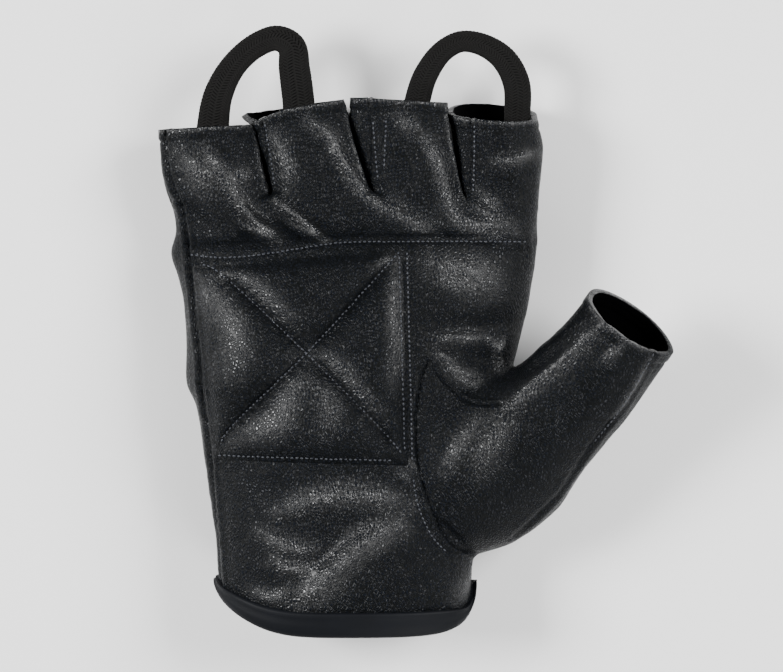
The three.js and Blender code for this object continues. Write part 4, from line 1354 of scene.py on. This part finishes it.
slit_rows = []
for slit, spec in SLITS.items():
    heights = [y for _, y in spec["line"]]
    slit_rows.append([(slit_x(slit, y) + np.interp(y, heights, spec["front"]) + 1.1, y)
                      for y in (spec["foot"] + 3, 133.0, 144.5)])
slit_rows.append([(10.4, 144.0), (9.8, 129.5)])
chance = random.Random(7)
sewing = {
    "finger_seam_stitches": [FINGER_ROW],
    "patch_edge_stitches": [[(14.0, 105.8), (15.5, 50.5)], [(16.2, 107.0), (17.7, 48.2)],
                            [(-36.5, 50.3), (14.0, 49.0)]],
    "patch_cross_stitches": PAD_CROSS,
    "finger_wall_stitches": slit_rows,
    "thumb_stitches": [THUMB_EDGE_ROW[:4], THUMB_ROW],
}
for name, rows in sewing.items():
    row = sewn(name, rows, surface, chance)
    row.data.materials.append(seam_thread)
    dress(row, "leather")

tape = cuff_binding()
tape.data.materials.append(tape_leather)
dress(tape, "binding", "cuff_binding")
for name in LOOPS:
    loop = braided_loop(name)
    loop.data.materials.append(yarn)
    dress(loop, "braid", name)

# Floor, light and camera

WIDE = 783  # width of the picture in pixels
PIXEL = 0.28  # one pixel of the picture at the glove, in millimetres
SENSOR = 36.0
CAMERA_HEIGHT = 1200.0
VIEW_MIDDLE = (-6.5, -1.76)  # where the middle of the picture lies in the frame, in millimetres
PICTURE_HEIGHT = 20  # the height above the floor at which a pixel has that size


def add_camera():
    """The camera, straight above the glove as in the photo."""
    place = (VIEW_MIDDLE[0] * MM, VIEW_MIDDLE[1] * MM, CAMERA_HEIGHT * MM)
    bpy.ops.object.camera_add(location=place, rotation=(0, 0, 0))
    camera = bpy.context.object
    camera.data.sensor_fit = "HORIZONTAL"
    camera.data.sensor_width = SENSOR
    camera.data.lens = SENSOR * (CAMERA_HEIGHT - PICTURE_HEIGHT) / (WIDE * PIXEL)
    camera.data.clip_end = 10
    bpy.context.scene.camera = camera


def add_light(name, place, aim, size, power):
    """A soft box at a place, turned towards what it lights."""
    bpy.ops.object.light_add(type="AREA", location=place)
    light = bpy.context.object
    light.name = name
    light.data.shape = "RECTANGLE"
    light.data.size, light.data.size_y = size
    light.data.energy = power
    light.rotation_euler = (Vector(aim) - Vector(place)).to_track_quat("-Z", "Y").to_euler()


def add_floor():
    bpy.ops.mesh.primitive_plane_add(size=6, location=(0, 0, 0))
    floor = bpy.context.object
    floor.name = "floor"
    paper, _, shader = new_material("white_paper_floor")
    shader.inputs["Base Color"].default_value = (0.92, 0.92, 0.92, 1)
    floor.data.materials.append(paper)


add_floor()
add_camera()
add_light("key", (-0.88, 0.12, 0.75), (0, 0.02, 0.02), (0.4, 0.4), 25)
add_light("fill", (0.8, 0.35, 0.8), (0, 0, 0.02), (0.6, 0.6), 22)
add_light("low", (0.5, -0.8, 0.6), (0.06, 0.0, 0.02), (0.5, 0.5), 8)
world = bpy.data.worlds.new("studio")
bpy.context.scene.world = world
world.use_nodes = True
world.node_tree.nodes["Background"].inputs["Color"].default_value = (1, 1, 1, 1)
world.node_tree.nodes["Background"].inputs["Strength"].default_value = 0.12
